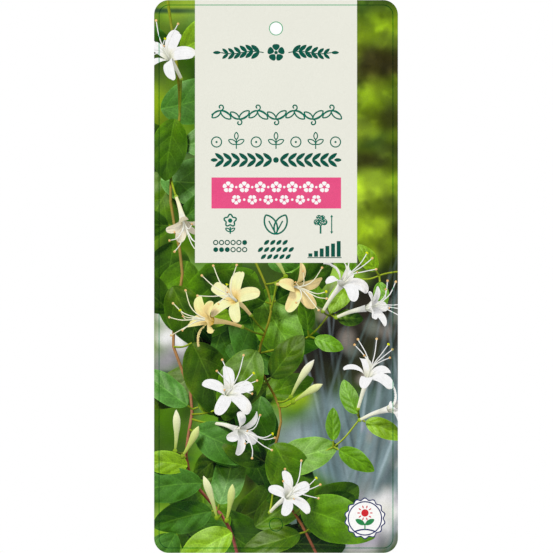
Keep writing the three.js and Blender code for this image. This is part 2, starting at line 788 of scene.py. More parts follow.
    def open_share(self, places: Array, normals: Array, rays: Array, reach: float) -> tuple[Array, Array]:
        """Returns how free each place is of things in the way of the rays.

        Args:
            places: N places on skins.
            normals: their normals.
            rays: K unit directions.
            reach: the distance past which nothing shades.

        Returns:
            The share of each place's rays that get away, weighed by how square
            they fall, and the plain share.
        """
        cast = self.tree.ray_cast
        starts = (places + normals * self.LIFT).tolist()
        free = np.empty((len(starts), len(rays)))
        for column, ray in enumerate(rays):
            way = Vector(ray)
            gaps = [cast(start, way, reach)[3] for start in starts]
            free[:, column] = [1.0 if gap is None else (gap / reach) ** 2 for gap in gaps]
        weight = np.clip(normals @ rays.T, 0.02, None)
        return (free * weight).sum(1) / weight.sum(1), free.mean(1)

    def sun_rays(self, count: int) -> Array:
        """Returns directions spread over the bright patch of sky round the sun.

        Args:
            count: how many to return.
        """
        number = np.arange(count)[:, None]
        spread, turn = self.SUN_SPREAD * np.sqrt((number + 0.5) / count), number * GOLDEN_TURN
        side = unit(np.cross(self.SUN, [0.0, 0.0, 1.0]))
        return unit(self.SUN + spread * (side * np.cos(turn) + np.cross(self.SUN, side) * np.sin(turn)))

    @staticmethod
    def sky_rays(count: int) -> Array:
        """Returns directions spread over the reader's half of the sky.

        Args:
            count: how many to return.
        """
        number = np.arange(count) + 0.5
        height, turn = np.sqrt(1 - number / count * 0.93), number * GOLDEN_TURN
        flat = np.sqrt(1 - height**2)
        return np.stack([flat * np.cos(turn), flat * np.sin(turn), height], 1)

    def shade(self, at: Samples, quick: bool = False) -> Array:
        """Returns the colour of each sample in daylight.

        Args:
            at: the samples.
            quick: trace few rays, for a rough look.
        """
        normal = self.embossed(at)
        facing = at.normal @ self.SUN
        turned = np.where(facing[:, None] < 0, -at.normal, at.normal)
        sun_count, sky_count = self.ROUGH_COUNTS if quick else self.RAY_COUNTS
        _, sun = self.open_share(at.place, turned, self.sun_rays(sun_count), self.SUN_REACH)
        sky, _ = self.open_share(at.place, at.normal, self.sky_rays(sky_count), self.SKY_REACH)
        kinds = Tissue.LEAF, Tissue.PETAL, Tissue.STEM, Tissue.STAMEN
        leaf, petal, stem, stamen = (self.tissues[at.skin] == kind.value for kind in kinds)
        pale = ~(leaf | stem)

        rise = np.where(petal, smooth_step(0.02, 0.42, at.along), at.along)
        tint = blend(self.root_tints[at.skin], self.tip_tints[at.skin], rise)
        patchy = mottle(0.16 * at.place[:, 0], 0.16 * at.place[:, 1], self.seeds[at.skin])
        margin = smooth_step(0.86, 1.0, np.abs(at.across)) * leaf
        tint = tint * (1 + np.where(leaf, *self.MOTTLE) * patchy + 0.25 * margin)[:, None]

        direct = np.where(pale, (normal @ self.SUN + self.WRAP) / (1 + self.WRAP), normal @ self.SUN)
        direct = np.clip(direct, 0, 1) * sun * np.where(pale, *self.SUN_GAIN)
        open_sky = [gain * sky**power for gain, power in zip(self.SKY_GAIN, self.SKY_POWER)]
        skylight = (0.72 + 0.28 * normal[:, 1]) * np.where(pale, *open_sky)
        sky_tint = np.where(pale[:, None], *self.SKY_TINT)
        light = skylight[:, None] * sky_tint + direct[:, None] * self.SUN_TINT
        light = light + (self.AMBIENT + 0.12 * pale + 0.1 * stamen)[:, None]
        through = np.clip(-facing, 0, 1) * np.where(leaf, *self.THROUGH) * sun
        colour = tint * light + tint * self.GLOW * through[:, None]

        shine = np.clip(normal @ unit(self.SUN + (0, 0, 1.0)), 0, 1)
        gloss = (0.12 * shine**30 * sun + 0.012 * shine**5 * sky) * leaf
        return self.developed(colour + gloss[:, None] * self.SHEEN_TINT)

    def developed(self, colour: Array) -> Array:
        """Returns the colour with the depth and the crisp contrast of the print.

        Args:
            colour: linear-light colours.
        """
        deep = np.clip(colour - self.HAZE, 0, None)
        grey = (deep @ self.GREY)[:, None]
        rich = np.clip(grey + self.RICHNESS * (deep - grey), 0, None)
        return np.clip(rich * (1.22 - 0.24 * np.sqrt(rich)), 0.0004, self.BRIGHTEST)


# ---- the picture's content


@dataclass(frozen=True)
class SoftPatch:
    """A blurred patch far behind the plant, from which it takes a colour or a change of light."""

    x: float
    y: float
    half_width: float
    half_height: float
    angle: float
    colour: Point | None
    lightness: float = 1.0
    strength: float = 0.85

    BLUR = 0.8
    FADE = 1 + 0.4 * BLUR

    def lay(self, points: Array, colours: Array) -> None:
        """Lays the patch over the colours at the points.

        Args:
            points: flat places.
            colours: their colours, which it changes.
        """
        cos, sin = spot(0, 0, self.angle)
        reach = self.FADE * max(self.half_width, self.half_height)
        near = np.abs(points - (self.x, self.y)).max(1) < reach
        x, y = (points[near] - (self.x, self.y)).T
        far = np.hypot((x * cos + y * sin) / self.half_width, (y * cos - x * sin) / self.half_height)
        cover = self.strength * (1 - smooth_step(1 - self.BLUR, self.FADE, far))
        under = colours[near]
        over = under if self.colour is None else linear(*self.colour)
        colours[near] = blend(under, over * self.lightness, cover)


@dataclass(frozen=True)
class BlurField:
    """Blurred patches strewn over part of the garden, in a few colours or only lighter and darker."""

    x: float
    y: float
    half_width: float
    half_height: float
    count: int
    sizes: Span
    slenderness: Span = (0.6, 1.0)
    angles: Span = (0, 180)
    lightness: Span = (0.7, 1.3)
    strengths: Span = (0.5, 0.95)
    colours: Sequence[Point] = (None,)

    def strewn(self, draw: np.random.Generator) -> Iterable[SoftPatch]:
        """Yields the patches, each drawn at random.

        Args:
            draw: the random numbers to use.
        """
        for number in range(self.count):
            x = self.x + self.half_width * draw.uniform(-1, 1)
            y = self.y + self.half_height * draw.uniform(-1, 1)
            size, colour = draw.uniform(*self.sizes), self.colours[number % len(self.colours)]
            yield SoftPatch(
                x, y, size, size * draw.uniform(*self.slenderness), draw.uniform(*self.angles),
                colour, draw.uniform(*self.lightness), draw.uniform(*self.strengths),
            )


class Backdrop:
    """The blurred garden behind the plant."""

    GROUND = (58, 86, 20)
    SEED = 5
    HEDGE = ((112, 146, 28), (150, 180, 48), (88, 122, 24), (66, 96, 20))
    SHADE = ((30, 54, 10), (44, 74, 16), (36, 62, 12), (92, 128, 62), (20, 36, 8))
    SHRUBS = ((112, 140, 4), (148, 182, 10), (84, 106, 4), (164, 196, 34), (48, 58, 4))
    UNDERGROWTH = ((44, 72, 16), (92, 128, 40), (120, 152, 66), (52, 80, 22), (104, 144, 40), (38, 60, 14))
    GAPS = ((30, 26, 6), (48, 44, 12))
    EARTH = ((28, 26, 24), (46, 40, 32), (66, 72, 40), (40, 36, 34))
    GRASSES = ((104, 130, 136), (88, 110, 106), (148, 166, 172), (114, 136, 140))
    PEBBLES = ((166, 154, 136), (124, 132, 120), (150, 140, 130))
    PAVING = ((190, 182, 198), (170, 166, 170), (206, 208, 196))
    FLOWERS = ((206, 206, 198), (186, 162, 200))
    WIRE = ((8, 50, 42),)
    FIELDS = (
        BlurField(-42, 88, 14, 30, 20, (6, 14), colours=HEDGE),
        BlurField(-42, 26, 14, 34, 24, (6, 12), colours=SHADE),
        BlurField(42, 62, 14, 56, 60, (5, 12), lightness=(0.6, 1.4), colours=SHRUBS),
        BlurField(44, 62, 12, 50, 9, (10, 20), (0.3, 0.4), (-14, 10), colours=GAPS),
        BlurField(-20, -56, 28, 52, 12, (5, 10), lightness=(0.3, 0.8), colours=GAPS),
        BlurField(-8, -56, 46, 56, 60, (6, 14), colours=UNDERGROWTH),
        BlurField(32, -24, 24, 20, 50, (9, 16), colours=EARTH),
        BlurField(28, -24, 22, 20, 12, (3, 6), colours=PEBBLES),
        BlurField(32, -74, 24, 20, 46, (8, 15), colours=GRASSES),
        BlurField(34, -100, 22, 11, 18, (7, 14), (0.3, 0.5), (-12, 12), colours=PAVING),
        BlurField(-40, -104, 14, 8, 5, (8, 14), (0.4, 0.6), (-12, 12), colours=PAVING),
        BlurField(-42, -34, 8, 14, 8, (6, 11), colours=PAVING),
        BlurField(-24, -62, 20, 24, 5, (5, 9), colours=PAVING),
        BlurField(44, -74, 8, 16, 5, (3, 6), colours=FLOWERS),
        # leaves and blades too far off to tell apart
        BlurField(0, 0, 50, 113, 380, (1.3, 6.0), lightness=(0.5, 1.6), strengths=(0.3, 0.7)),
        BlurField(41, 58, 10, 56, 340, (1.0, 3.4), (0.5, 1.0), lightness=(0.6, 1.6), strengths=(0.3, 0.7)),
        BlurField(22, -70, 12, 22, 34, (12, 28), (0.03, 0.08), (90, 108), (0.3, 1.5), (0.3, 0.6), GRASSES),
        BlurField(42, -70, 12, 24, 54, (12, 30), (0.03, 0.08), (62, 84), (0.3, 1.5), (0.3, 0.65), GRASSES),
        BlurField(34, -26, 18, 22, 20, (16, 30), (0.02, 0.04), (68, 102), (0.3, 1.3), (0.2, 0.45), GRASSES),
        # trellis wires
        BlurField(-40, 8, 3, 100, 9, (30, 34), (0.04, 0.05), (-3, 2), (0.8, 1.4), (0.8, 0.95), WIRE),
        BlurField(-20, -56, 12, 6, 2, (34, 38), (0.025, 0.025), (88, 92), (0.8, 1.2), (0.7, 0.8), WIRE),
    )

    def colours(self, points: Array) -> Array:
        """Returns the backdrop's colour at each flat point.

        Args:
            points: flat places.
        """
        draw = np.random.default_rng(self.SEED)
        colours = np.tile(linear(*self.GROUND), (len(points), 1))
        for field in self.FIELDS:
            for patch in field.strewn(draw):
                patch.lay(points, colours)
        return np.clip(colours, 0, StillLife.BRIGHTEST)


class GardenScene:
    """The plant in the picture: vines, loose foliage, blossoms and buds."""

    GREEN_STEM = (132, 150, 64)
    VINES = (
        Vine(
            ((-14, -120, 2), (-20, -100, 5), (-36, -78, 7), (-34, -50, 8), (-42, -26, 7), (-38, 2, 5),
             (-43, 34, 6), (-39, 70, 6), (-45, 120, 5)),
            0.66, (172, 96, 104), GREEN_STEM, (0.16, 0.36, 0.55, 0.7, 0.82, 0.93), 26,
            (LeafTone.DARK, LeafTone.DEEP, LeafTone.FRESH, LeafTone.COOL), 11,
        ),
        Vine(
            ((20, -120, 4), (10, -100, 8), (-2, -80, 11), (2, -56, 12), (-7, -34, 11), (-2, -12, 9),
             (-10, 10, 6)),
            0.56, (166, 98, 92), GREEN_STEM, (0.14, 0.36, 0.6, 0.84), 25,
            (LeafTone.DARK, LeafTone.MID, LeafTone.DEEP), 4,
        ),
        Vine(
            ((-1, -76, 12), (12, -74, 15), (25, -68, 16), (34, -58, 15)),
            0.42, GREEN_STEM, (152, 174, 80), (0.62, 1.0), 15, (LeafTone.MID, LeafTone.FRESH), 8,
        ),
        Vine(
            ((-6, -31, 12), (6, -28, 15), (15, -23, 17), (22, -15, 16)),
            0.42, GREEN_STEM, (152, 174, 80), (0.6, 1.0), 14, (LeafTone.DARK, LeafTone.MID), 3,
        ),
        Vine(
            ((50, 2, 8), (44, 1, 10), (38, -1, 11), (32, -1, 11)),
            0.4, GREEN_STEM, (158, 184, 80), (0.45, 1.0), 14, (LeafTone.MID, LeafTone.FRESH), 14,
        ),
    )

    FRONT_LEAVES = (
        Leaf((-34, -27, 15), -66, 34, 20, 12, -14, -12, 34, 12, LeafTone.DEEP, 0.2),
        Leaf((-8, -30, 18), -116, 32, 19, 10, 18, 12, 30, 14, LeafTone.DARK, 0.55),
        Leaf((-33, -62, 16), -24, 30, 17, 16, 10, 14, 40, 12, LeafTone.COOL, 0.8),
        Leaf((-1, -68, 17), -62, 31, 19, 12, -12, -12, 36, 12, LeafTone.DARK, 0.35),
        Leaf((-30, -84, 15), 186, 32, 15, 10, -16, 20, 30, 10, LeafTone.COOL, 0.1),
        Leaf((10, -94, 17), -20, 33, 20, 10, 12, -14, 30, 12, LeafTone.MID, 0.66),
        Leaf((-42, -4, 13), -62, 30, 18, 10, 16, 10, 30, 12, LeafTone.DEEP, 0.45),
        Leaf((-41, 64, 11), -100, 26, 15, 10, -10, 10, 30, 12, LeafTone.DARK, 0.9),
        Leaf((-18, -104, 16), -150, 26, 14, 14, 8, 14, 34, 14, LeafTone.FRESH, 0.3),
        Leaf((-36, -77, 17), 172, 20, 10, 14, -8, 18, 30, 14, LeafTone.FRESH, 0.75),
    )

    REAR_SEED = 21
    REAR_FIELDS = (
        LeafField(-22, 0, 24, 9, 8),
        LeafField(-18, -34, 12, 16, 5, (24, 34)),
        LeafField(-8, -58, 8, 14, 3, (24, 34)),
        LeafField(-30, -92, 18, 14, 6),
        LeafField(2, -106, 12, 5, 4, (24, 34)),
        LeafField(-44, 34, 6, 40, 6, tones=(LeafTone.DEEP, LeafTone.DARK, LeafTone.COOL)),
        LeafField(-24, -50, 22, 60, 14, (14, 24), (-6, 6)),
    )

    FAR_SEED = 9
    FAR_DEPTHS = (-75, -30)
    FAR_TONES = (LeafTone.DARK, LeafTone.MID, LeafTone.FRESH, LeafTone.MID, LeafTone.YOUNG, LeafTone.DEEP)
    FAR_FIELDS = (
        LeafField(-42, 44, 12, 62, 20, (20, 34), FAR_DEPTHS, FAR_TONES),
        LeafField(-24, -34, 26, 34, 14, (20, 34), FAR_DEPTHS, FAR_TONES),
        LeafField(-24, -88, 28, 22, 12, (20, 34), FAR_DEPTHS, FAR_TONES),
        LeafField(10, 4, 12, 6, 3, (20, 34), FAR_DEPTHS, FAR_TONES),
    )
    FAR_BLOSSOMS = (
        Blossom((-45, -22, -34), (0.6, 0.2, 0.8), 13, 0.6, 0, 0, (-50, -30, -40)),
        Blossom((47, -96, -40), (-0.6, 0.1, 0.7), 12, 0.7, 0, 0, (52, -100, -46)),
    )

    BLOSSOMS = (
        Blossom((-16, -10, 26), (-0.45, 0.35, 0.85), 13.6, 0.8, 10, 0.75, (-4.4, -22.5, 10)),
        Blossom((-25, -18, 24), (-0.9, 0.1, 0.5), 13, 0.6, 40, 0.9, (-4.9, -23.8, 10)),
        Blossom((7, -4, 26), (0.5, -0.15, 0.8), 12.6, 0.6, 15, 0.85, (-2, -14, 9)),
        Blossom((26, -4, 27), (0.55, 0.7, 0.5), 12.5, 0.75, 33, 0.0, (22, -16, 16)),
        Blossom((36, -13, 25), (0.95, 0.2, 0.45), 12, 0.55, 5, 0.0, (22, -15, 16)),
        Blossom((-20, -48, 27), (0.35, 0.4, 0.85), 13.6, 0.85, 20, 0.0, (-34, -56, 9)),
        Blossom((-16, -62, 26), (0.75, -0.3, 0.7), 12, 0.7, 52, 0.0, (-34, -58, 9)),
        Blossom((37, -42, 27), (0.3, 0.85, 0.55), 12.5, 0.8, 14, 0.0, (34, -58, 15)),
        Blossom((45, -54, 25), (0.9, 0.25, 0.5), 11.5, 0.5, 30, 0.0, (35, -58, 15)),
        Blossom((4, -90, 27), (0.5, 0.35, 0.8), 13, 0.75, 30, 0.0, (-0.7, -84, 10.6)),
        Blossom((-43, 88, 20), (-0.35, 0.5, 0.8), 13, 0.8, 0, 0.0, (-39, 66, 6)),
        Blossom((-38, 24, 20), (0.2, -0.75, 0.65), 10.5, 0.5, 40, 0.35, (-42.7, 40, 6)),
    )

    BUDS = (
        Bud((-41, -71, 18), 84, 17, 12, 0.8),
        Bud((-38, -73, 18), 58, 14, 10, 0.3),
        Bud((6, -49, 18), 64, 18, -16, 0.9),
        Bud((7, -51, 18), 36, 14, -12, 0.5),
        Bud((-24, -98, 20), 104, 18, 10, 0.7),
        Bud((-20, -99, 20), 78, 15, 8, 0.3),
        Bud((4, 0, 20), 118, 15, 12, 0.6),
    )

    def joined(self, root: Point) -> Skin:
        """Returns a stalk from the nearest stem.

        Args:
            root: the leaf's or bud's root.
        """
        spines = np.vstack([vine.spine() for vine in self.VINES])
        start = spines[np.argmin(np.linalg.norm((spines - root)[:, :2], axis=1))]
        return stalk(start, root, 0.8)

    def grow_far(self) -> list[Skin]:
        """Returns the foliage that is out of focus behind the plant."""
        draw = np.random.default_rng(self.FAR_SEED)
        skins = [skin for leaves in self.FAR_FIELDS for skin in leaves.grow(draw)]
        return skins + [skin for blossom in self.FAR_BLOSSOMS for skin in blossom.grow()]

    def grow(self) -> list[Skin]:
        """Returns every skin of the plant that is in focus."""
        draw = np.random.default_rng(self.REAR_SEED)
        skins = [skin for leaves in self.REAR_FIELDS for skin in leaves.grow(draw)]
        skins += [leaf.grow() for leaf in self.FRONT_LEAVES]
        roots = [leaf.place for leaf in self.FRONT_LEAVES] + [bud.foot for bud in self.BUDS]
        skins += [self.joined(root) for root in roots]
        for part in (*self.VINES, *self.BUDS, *self.BLOSSOMS):
            skins += part.grow()
        return skins


# ---- flat printed marks


def circle(x: float, y: float, radius: float, count: int = 40, swing: float = 0.0, lobes: int = 0) -> Array:
    """Returns an anticlockwise circle, which may have soft lobes.

    Args:
        x: its middle, across.
        y: its middle, up.
        radius: its mean radius.
        count: how many points it has.
        swing: how far its lobes stand out.
        lobes: how many lobes it has.
    """
    turn = 2 * math.pi * np.arange(count) / count
    reach = radius + swing * np.cos(lobes * (turn - math.pi / 2))
    return np.stack([x + reach * np.cos(turn), y + reach * np.sin(turn)], 1)


def box_loop(left: float, bottom: float, right: float, top: float) -> Array:
    """Returns an anticlockwise rectangle."""
    return np.array([(left, bottom), (right, bottom), (right, top), (left, top)], float)


def rounded_box(half_width: float, half_height: float, radius: float, segments: int = 16) -> Array:
    """Returns an anticlockwise rectangle with rounded corners, centred on the card.

    Args:
        half_width: from its middle to its side.
        half_height: from its middle to its top.
        radius: of its corners.
        segments: how many steps each corner has.
    """
    quarter = np.repeat(np.arange(4), segments + 1) * math.pi / 2
    turn = quarter + np.tile(np.linspace(0, math.pi / 2, segments + 1), 4)
    middles = np.stack([np.cos(quarter + math.pi / 4), np.sin(quarter + math.pi / 4)], 1)
    middles = np.sign(middles) * (half_width - radius, half_height - radius)
    return middles + radius * np.stack([np.cos(turn), np.sin(turn)], 1)


def blade_loop(
    root: Point, degrees: float, length: float, breadth: float, powers: Point = (0.75, 0.75),
) -> Array:
    """Returns an anticlockwise leaf or petal outline.

    Args:
        root: its root.
        degrees: the way it points.
        length: from root to tip.
        breadth: its greatest breadth.
        powers: of root and tip; a lower one is blunter.
    """
    share = cosine_steps(13)
    half = breadth / 2 * blade_profile(share, *powers)
    margin = np.vstack([np.stack([share * length, -half], 1), np.stack([share * length, half], 1)[-2:0:-1]])
    cos, sin = spot(0, 0, degrees)
    return margin @ np.array([(cos, sin), (-sin, cos)]) + root


def offset_line(points: Array, distance: float, closed: bool) -> Array:
    """Returns the line moved sideways to its left."""
    ways = np.roll(points, -1, 0) - np.roll(points, 1, 0) if closed else np.gradient(points, axis=0)
    return points + distance * unit(ways)[:, ::-1] * (-1, 1)


def stroke(points: Sequence[Point], breadth: float) -> list[Array]:
    """Returns the outline of a pen stroke with square ends.

    Args:
        points: the line that the pen follows.
        breadth: the pen's.
    """
    line = np.asarray(points, float)
    right, left = (offset_line(line, side * breadth / 2, closed=False) for side in (-1, 1))
    return [np.vstack([right, left[::-1]])]


def outlined(loops: Iterable[Array], breadth: float) -> list[Array]:
    """Returns the outlines of pen strokes round anticlockwise loops."""
    sides = [(loop, side) for loop in loops for side in (-1, 1)]
    return [offset_line(loop, side * breadth / 2, closed=True)[::-side] for loop, side in sides]


def ring(x: float, y: float, radius: float, breadth: float, count: int = 40) -> list[Array]:
    """Returns the two outlines of a ring of the given inner radius and breadth."""
    return [circle(x, y, radius + breadth, count), circle(x, y, radius, count)[::-1]]


def rosette(x: float, y: float, radius: float, turn: float = 90, plump: float = 0.86) -> list[Array]:
    """Returns the five petals of a small flower, open at its heart.

    Args:
        x: its middle, across.
        y: its middle, up.
        radius: from its middle to the tips.
        turn: the way its first petal points, in degrees.
        plump: a petal's breadth as a share of the radius.
    """
    return [
        blade_loop(spot(x, y, degrees, 0.24 * radius), degrees, 0.76 * radius, plump * radius, (0.8, 0.42))
        for degrees in np.arange(turn, turn + 360, 72)
    ]


def leaf_pair(
    root: Point, heading: float, lean: float, length: float, breadth: float, powers: Point = (0.75, 0.75),
) -> list[Array]:
    """Returns two leaf outlines that lean to either side of a heading."""
    return [blade_loop(root, heading + side * lean, length, breadth, powers) for side in (-1, 1)]


def winding(points: Array, loops: Iterable[Array]) -> Array:
    """Returns how many times the loops wind round each point.

    Args:
        points: flat points.
        loops: closed outlines; anticlockwise ones count up.
    """
    total = np.zeros(len(points), int)
    for loop in loops:
        near = np.nonzero(((points >= loop.min(0)) & (points <= loop.max(0))).all(1))[0]
        x, y = points[near, 0][:, None], points[near, 1][:, None]
        start, end = loop, np.roll(loop, -1, 0)
        cross = (end[:, 0] - start[:, 0]) * (y - start[:, 1]) - (x - start[:, 0]) * (end[:, 1] - start[:, 1])
        up = (start[:, 1] <= y) & (end[:, 1] > y) & (cross > 0)
        down = (start[:, 1] > y) & (end[:, 1] <= y) & (cross < 0)
        total[near] += up.sum(1) - down.sum(1)
    return total


class Ink(Enum):
    """The spot colours of the two faces, as display colours."""

    PANEL = (234, 234, 222)
    PINE = (0, 87, 70)
    TEAL = (0, 110, 88)
    PINK = (235, 79, 133)
    WHITE = (252, 252, 250)
    CUT_LINE = (50, 172, 112)
    NAVY = (34, 44, 104)
    RED = (214, 36, 48)
    GREEN = (38, 138, 76)


@dataclass
class Mark:
    """One flat shape of a single ink. Later marks lie over earlier ones."""

    ink: Ink
    loops: list[Array]


@dataclass(frozen=True)
class CardFace:
    """The card's size, in mm, and where its centre is in the frame, in metres."""

    width: float
    height: float
    thickness: float
    hole_rise: float
    centre: Point
    corner_radius: float = 6.0
    hole_radius: float = 2.5
    trim: float = 0.015

    @classmethod
    def measured(cls, node: str) -> CardFace:
        """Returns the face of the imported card, whose origin is its hole.

        Args:
            node: the card's name in the pack.
        """
        low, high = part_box(node)
        size, centre = (high - low) / MM, (low + high) / 2
        return cls(size.x, size.z, size.y, -centre.z / MM, tuple(centre))

    def outline(self, inset: float = 0.0) -> list[Array]:
        """Returns the card's loops: its edge, then its hole, clockwise."""
        edge = rounded_box(self.width / 2 - inset, self.height / 2 - inset, self.corner_radius - inset, 24)
        return [edge, circle(0, self.hole_rise, self.hole_radius + inset, 64)[::-1]]

    def placed(self, points: Array, out: float, back: bool = False) -> Array:
        """Returns flat points as frame positions, in metres.

        Args:
            points: places on the face, in mm.
            out: how far they stand out of the card's middle plane, in mm.
            back: they are on the back face, where x runs the other way.
        """
        side = -1 if back else 1
        depth = np.full(len(points), -side * out)
        return np.stack([side * points[:, 0], depth, points[:, 1]], 1) * MM + self.centre


@dataclass(frozen=True)
class PanelArt:
    """The flat design over the picture: panel, ornaments, band, pictograms, seal.

    A rise is a height over the card's centre, and a pen is a stroke's breadth.
    """

    face: CardFace
    half_width: float = 32.9
    foot: float = 5.56
    cut_inset: float = 2.03
    cut_radius: float = 4.0
    line: float = 0.33
    sprig_rise: float = 90.9
    sprig_reach: float = 25.4
    scroll_rise: float = 65.6
    scroll_reach: float = 26.2
    scroll_swing: float = 1.7
    scroll_waves: float = 3.5
    bead_rise: float = 55.0
    bead_step: float = 8.05
    bead_pen: float = 0.46
    laurel_rise: float = 47.3
    laurel_step: float = 3.25
    band_box: Point = (-26.2, 27.6, 26.4, 40.2)
    flower_step: float = 6.5
    symbol_rise: float = 21.2
    symbol_pen: float = 0.56
    crown_shift: float = 1.6
    columns: Point = (-18.6, -0.1, 19.7)
    month_step: float = 2.35
    bloom: Sequence[int] = range(5, 9)
    row_drop: float = 2.9
    seal_place: Point = (36.1, -98.2)
    seal_radius: float = 8.1
    seal_scallops: int = 14

    # the lumps of the bush's crown: across and up from its middle, and radius
    CROWN = (
        (0, 1.9, 1.55), (-1.5, 0.9, 1.3), (1.5, 0.9, 1.3), (-0.7, 2.7, 1.1), (0.8, 2.6, 1.1), (0, 0.4, 1.1),
    )

    def marks(self) -> list[Mark]:
        """Returns every mark of the front, from the lowest up."""
        bold = self.sprig(0, self.sprig_rise, self.sprig_reach, 1.0) + self.laurel() + self.captions()
        return [
            Mark(Ink.PANEL, [box_loop(-self.half_width, self.foot, self.half_width, self.face.height)]),
            Mark(Ink.PINE, bold),
            Mark(Ink.TEAL, self.scroll() + self.beads() + self.symbols()),
            Mark(Ink.PANEL, self.crown_gaps()),
            *self.band(),
            *self.seal(),
            Mark(Ink.CUT_LINE, self.cut_line()),
        ]

    def cut_line(self) -> list[Array]:
        """Returns the fine line inside the edge, and the rings of the hole and of the lower tie mark."""
        face = self.face
        half_width, half_height = (size / 2 - self.cut_inset for size in (face.width, face.height))
        loops = outlined([rounded_box(half_width, half_height, self.cut_radius, 20)], self.line)
        for rise in (face.hole_rise, -face.hole_rise):
            loops += ring(0, rise, face.hole_radius, self.line, 64)
        return loops

    @staticmethod
    def sprig(x: float, y: float, reach: float, scale: float) -> list[Array]:
        """Returns a divider: a rosette between two leafy twigs.

        Args:
            x: its middle, across.
            y: its middle, up.
            reach: its half-length.
            scale: the size of its rosette and leaves.
        """
        loops = rosette(x, y, 3.5 * scale) + [circle(x, y, 0.72 * scale, 20)]
        share = np.linspace(0, 1, 30)
        for heading, side in ((0, 1), (180, -1)):
            run = x + side * (5.0 * scale + share * (reach - 8.0 * scale))
            wave = y + 0.5 * scale * np.sin(share * 2 * math.pi)
            twig = np.stack([run, wave], 1)
            loops += stroke(twig, 0.42 * scale)
            for number in range(6):
                root = [np.interp(0.1 + number / 6.9, share, axis) for axis in (run, wave)]
                size = scale * (4.3 - 0.22 * number)
                loops += leaf_pair(root, heading, 40, size, size * 0.42)
            loops.append(blade_loop(twig[-1], heading, 3.2 * scale, 1.35 * scale))
        return loops

    def scroll(self) -> list[Array]:
        """Returns the thin vine scroll: a waved stem with open leaves and curls."""
        share, turn = np.linspace(0, 1, 120), np.linspace(0, 1.9 * math.pi, 22)
        reach, crests = self.scroll_reach, round(2 * self.scroll_waves)
        heights = self.scroll_rise + self.scroll_swing * np.sin(2 * math.pi * self.scroll_waves * share)
        loops = stroke(np.stack([reach * (2 * share - 1), heights], 1), 0.62)
        for number in range(crests):
            crest = 1 - 2 * (number % 2)
            root = np.array([reach * ((2 * number + 1) / crests - 1), self.scroll_rise + 1.63 * crest])
            for lean, size in ((38, 5.2), (142, 4.4)):
                loops += outlined([blade_loop(root, -crest * lean, size, size * 0.46)], 0.58)
            curl = 1.35 * (1 - turn / (2.6 * math.pi))
            spiral = np.stack([curl * np.sin(turn), crest * (1.5 - curl * np.cos(turn))], 1)
            loops += stroke(root + spiral, self.symbol_pen)
        return loops

    def beads(self) -> list[Array]:
        """Returns the wide-set row of open rings and seedlings."""
        loops, y, pen = [], self.bead_rise, self.bead_pen
        for number in range(-3, 4):
            x = self.bead_step * number
            if number % 2:
                loops += ring(x, y - 0.4, 1.8, 0.48) + [circle(x, y - 0.4, 0.45, 16)]
                continue
            blades = leaf_pair((x, y - 1.2), 90, 62, 3.5, 1.7) + [blade_loop((x, y + 0.6), 90, 2.9, 1.5)]
            loops += stroke(np.linspace((x, y - 3.2), (x, y + 1.0), 4), pen) + outlined(blades, pen)
        return loops

    def laurel(self) -> list[Array]:
        """Returns the bold band of paired leaves that points both ways."""
        y = self.laurel_rise
        loops = [circle(0, y, 1.15, 24)]
        for heading, side in ((0, 1), (180, -1)):
            for number in range(7):
                root = (side * (1.7 + self.laurel_step * number), y)
                loops += leaf_pair(root, heading, 38, 4.5, 1.65, (0.62, 0.7))
            loops.append(blade_loop((side * 23.6, y), heading, 3.0, 1.5))
        return loops

    def band(self) -> list[Mark]:
        """Returns the pink band with its two rows of small white flowers."""
        loops, step, middle = [], self.flower_step, (self.band_box[0] + self.band_box[2]) / 2
        for turn, rise, count, radius in ((90, 36.3, 7, 2.25), (270, 31.2, 6, 1.95)):
            for x in in_row(middle, count, step):
                loops += rosette(x, rise, radius, turn, 0.8)
            loops += [circle(x, rise, 0.5, 16) for x in in_row(middle, count - 1, step)]
        return [Mark(Ink.PINK, [box_loop(*self.band_box)]), Mark(Ink.WHITE, loops)]

    def symbols(self) -> list[Array]:
        """Returns the three line pictograms: flower, leaf pair, and bush with its height."""
        (first, second, third), y, pen = self.columns, self.symbol_rise, self.symbol_pen
        flower = circle(first, y + 1.5, 2.15, 60, 0.42, 5)
        loops = outlined([flower], 0.62) + [circle(first, y + 1.5, 0.9, 20)]
        loops += stroke([(first, y - 1.0), (first + 0.1, y - 2.4), (first, y - 3.9)], pen)
        loops += outlined(leaf_pair((first, y - 2.9), 90, 55, 2.2, 1.05), 0.5)
        root = (second, y - 3.9)
        loops += outlined(leaf_pair(root, 90, 28, 8.6, 4.6, (0.7, 0.75)), 0.68)
        for lean in (62, 118):
            loops += stroke(np.linspace(spot(*root, lean, 0.9), spot(*root, lean, 6.0), 5), pen)
        trunk, arrow = third - self.crown_shift, third + 2.9
        loops += [circle(trunk + dx, y + dy, radius, 22) for dx, dy, radius in self.CROWN]
        loops += stroke(np.linspace((trunk, y - 3.8), (trunk, y + 0.4), 4), 0.7)
        loops += stroke(np.linspace((arrow, y - 3.2), (arrow, y + 3.2), 3), 0.44)
        head = np.array([(-0.62, 2.9), (0.62, 2.9), (0, 3.9)])
        return loops + [head + (arrow, y), -head + (arrow, y)]

    def crown_gaps(self) -> list[Array]:
        """Returns the light flecks in the bush's crown."""
        x, y, flecks, count = self.columns[2] - self.crown_shift, self.symbol_rise + 1.4, [], 30
        for number in range(count):
            turn, reach = number * GOLDEN_TURN, 2.5 * math.sqrt((number + 0.5) / count)
            place = (x + reach * math.cos(turn), y + 0.85 * reach * math.sin(turn))
            flecks.append(blade_loop(place, 47 * number, 0.5, 0.3))
        return flecks

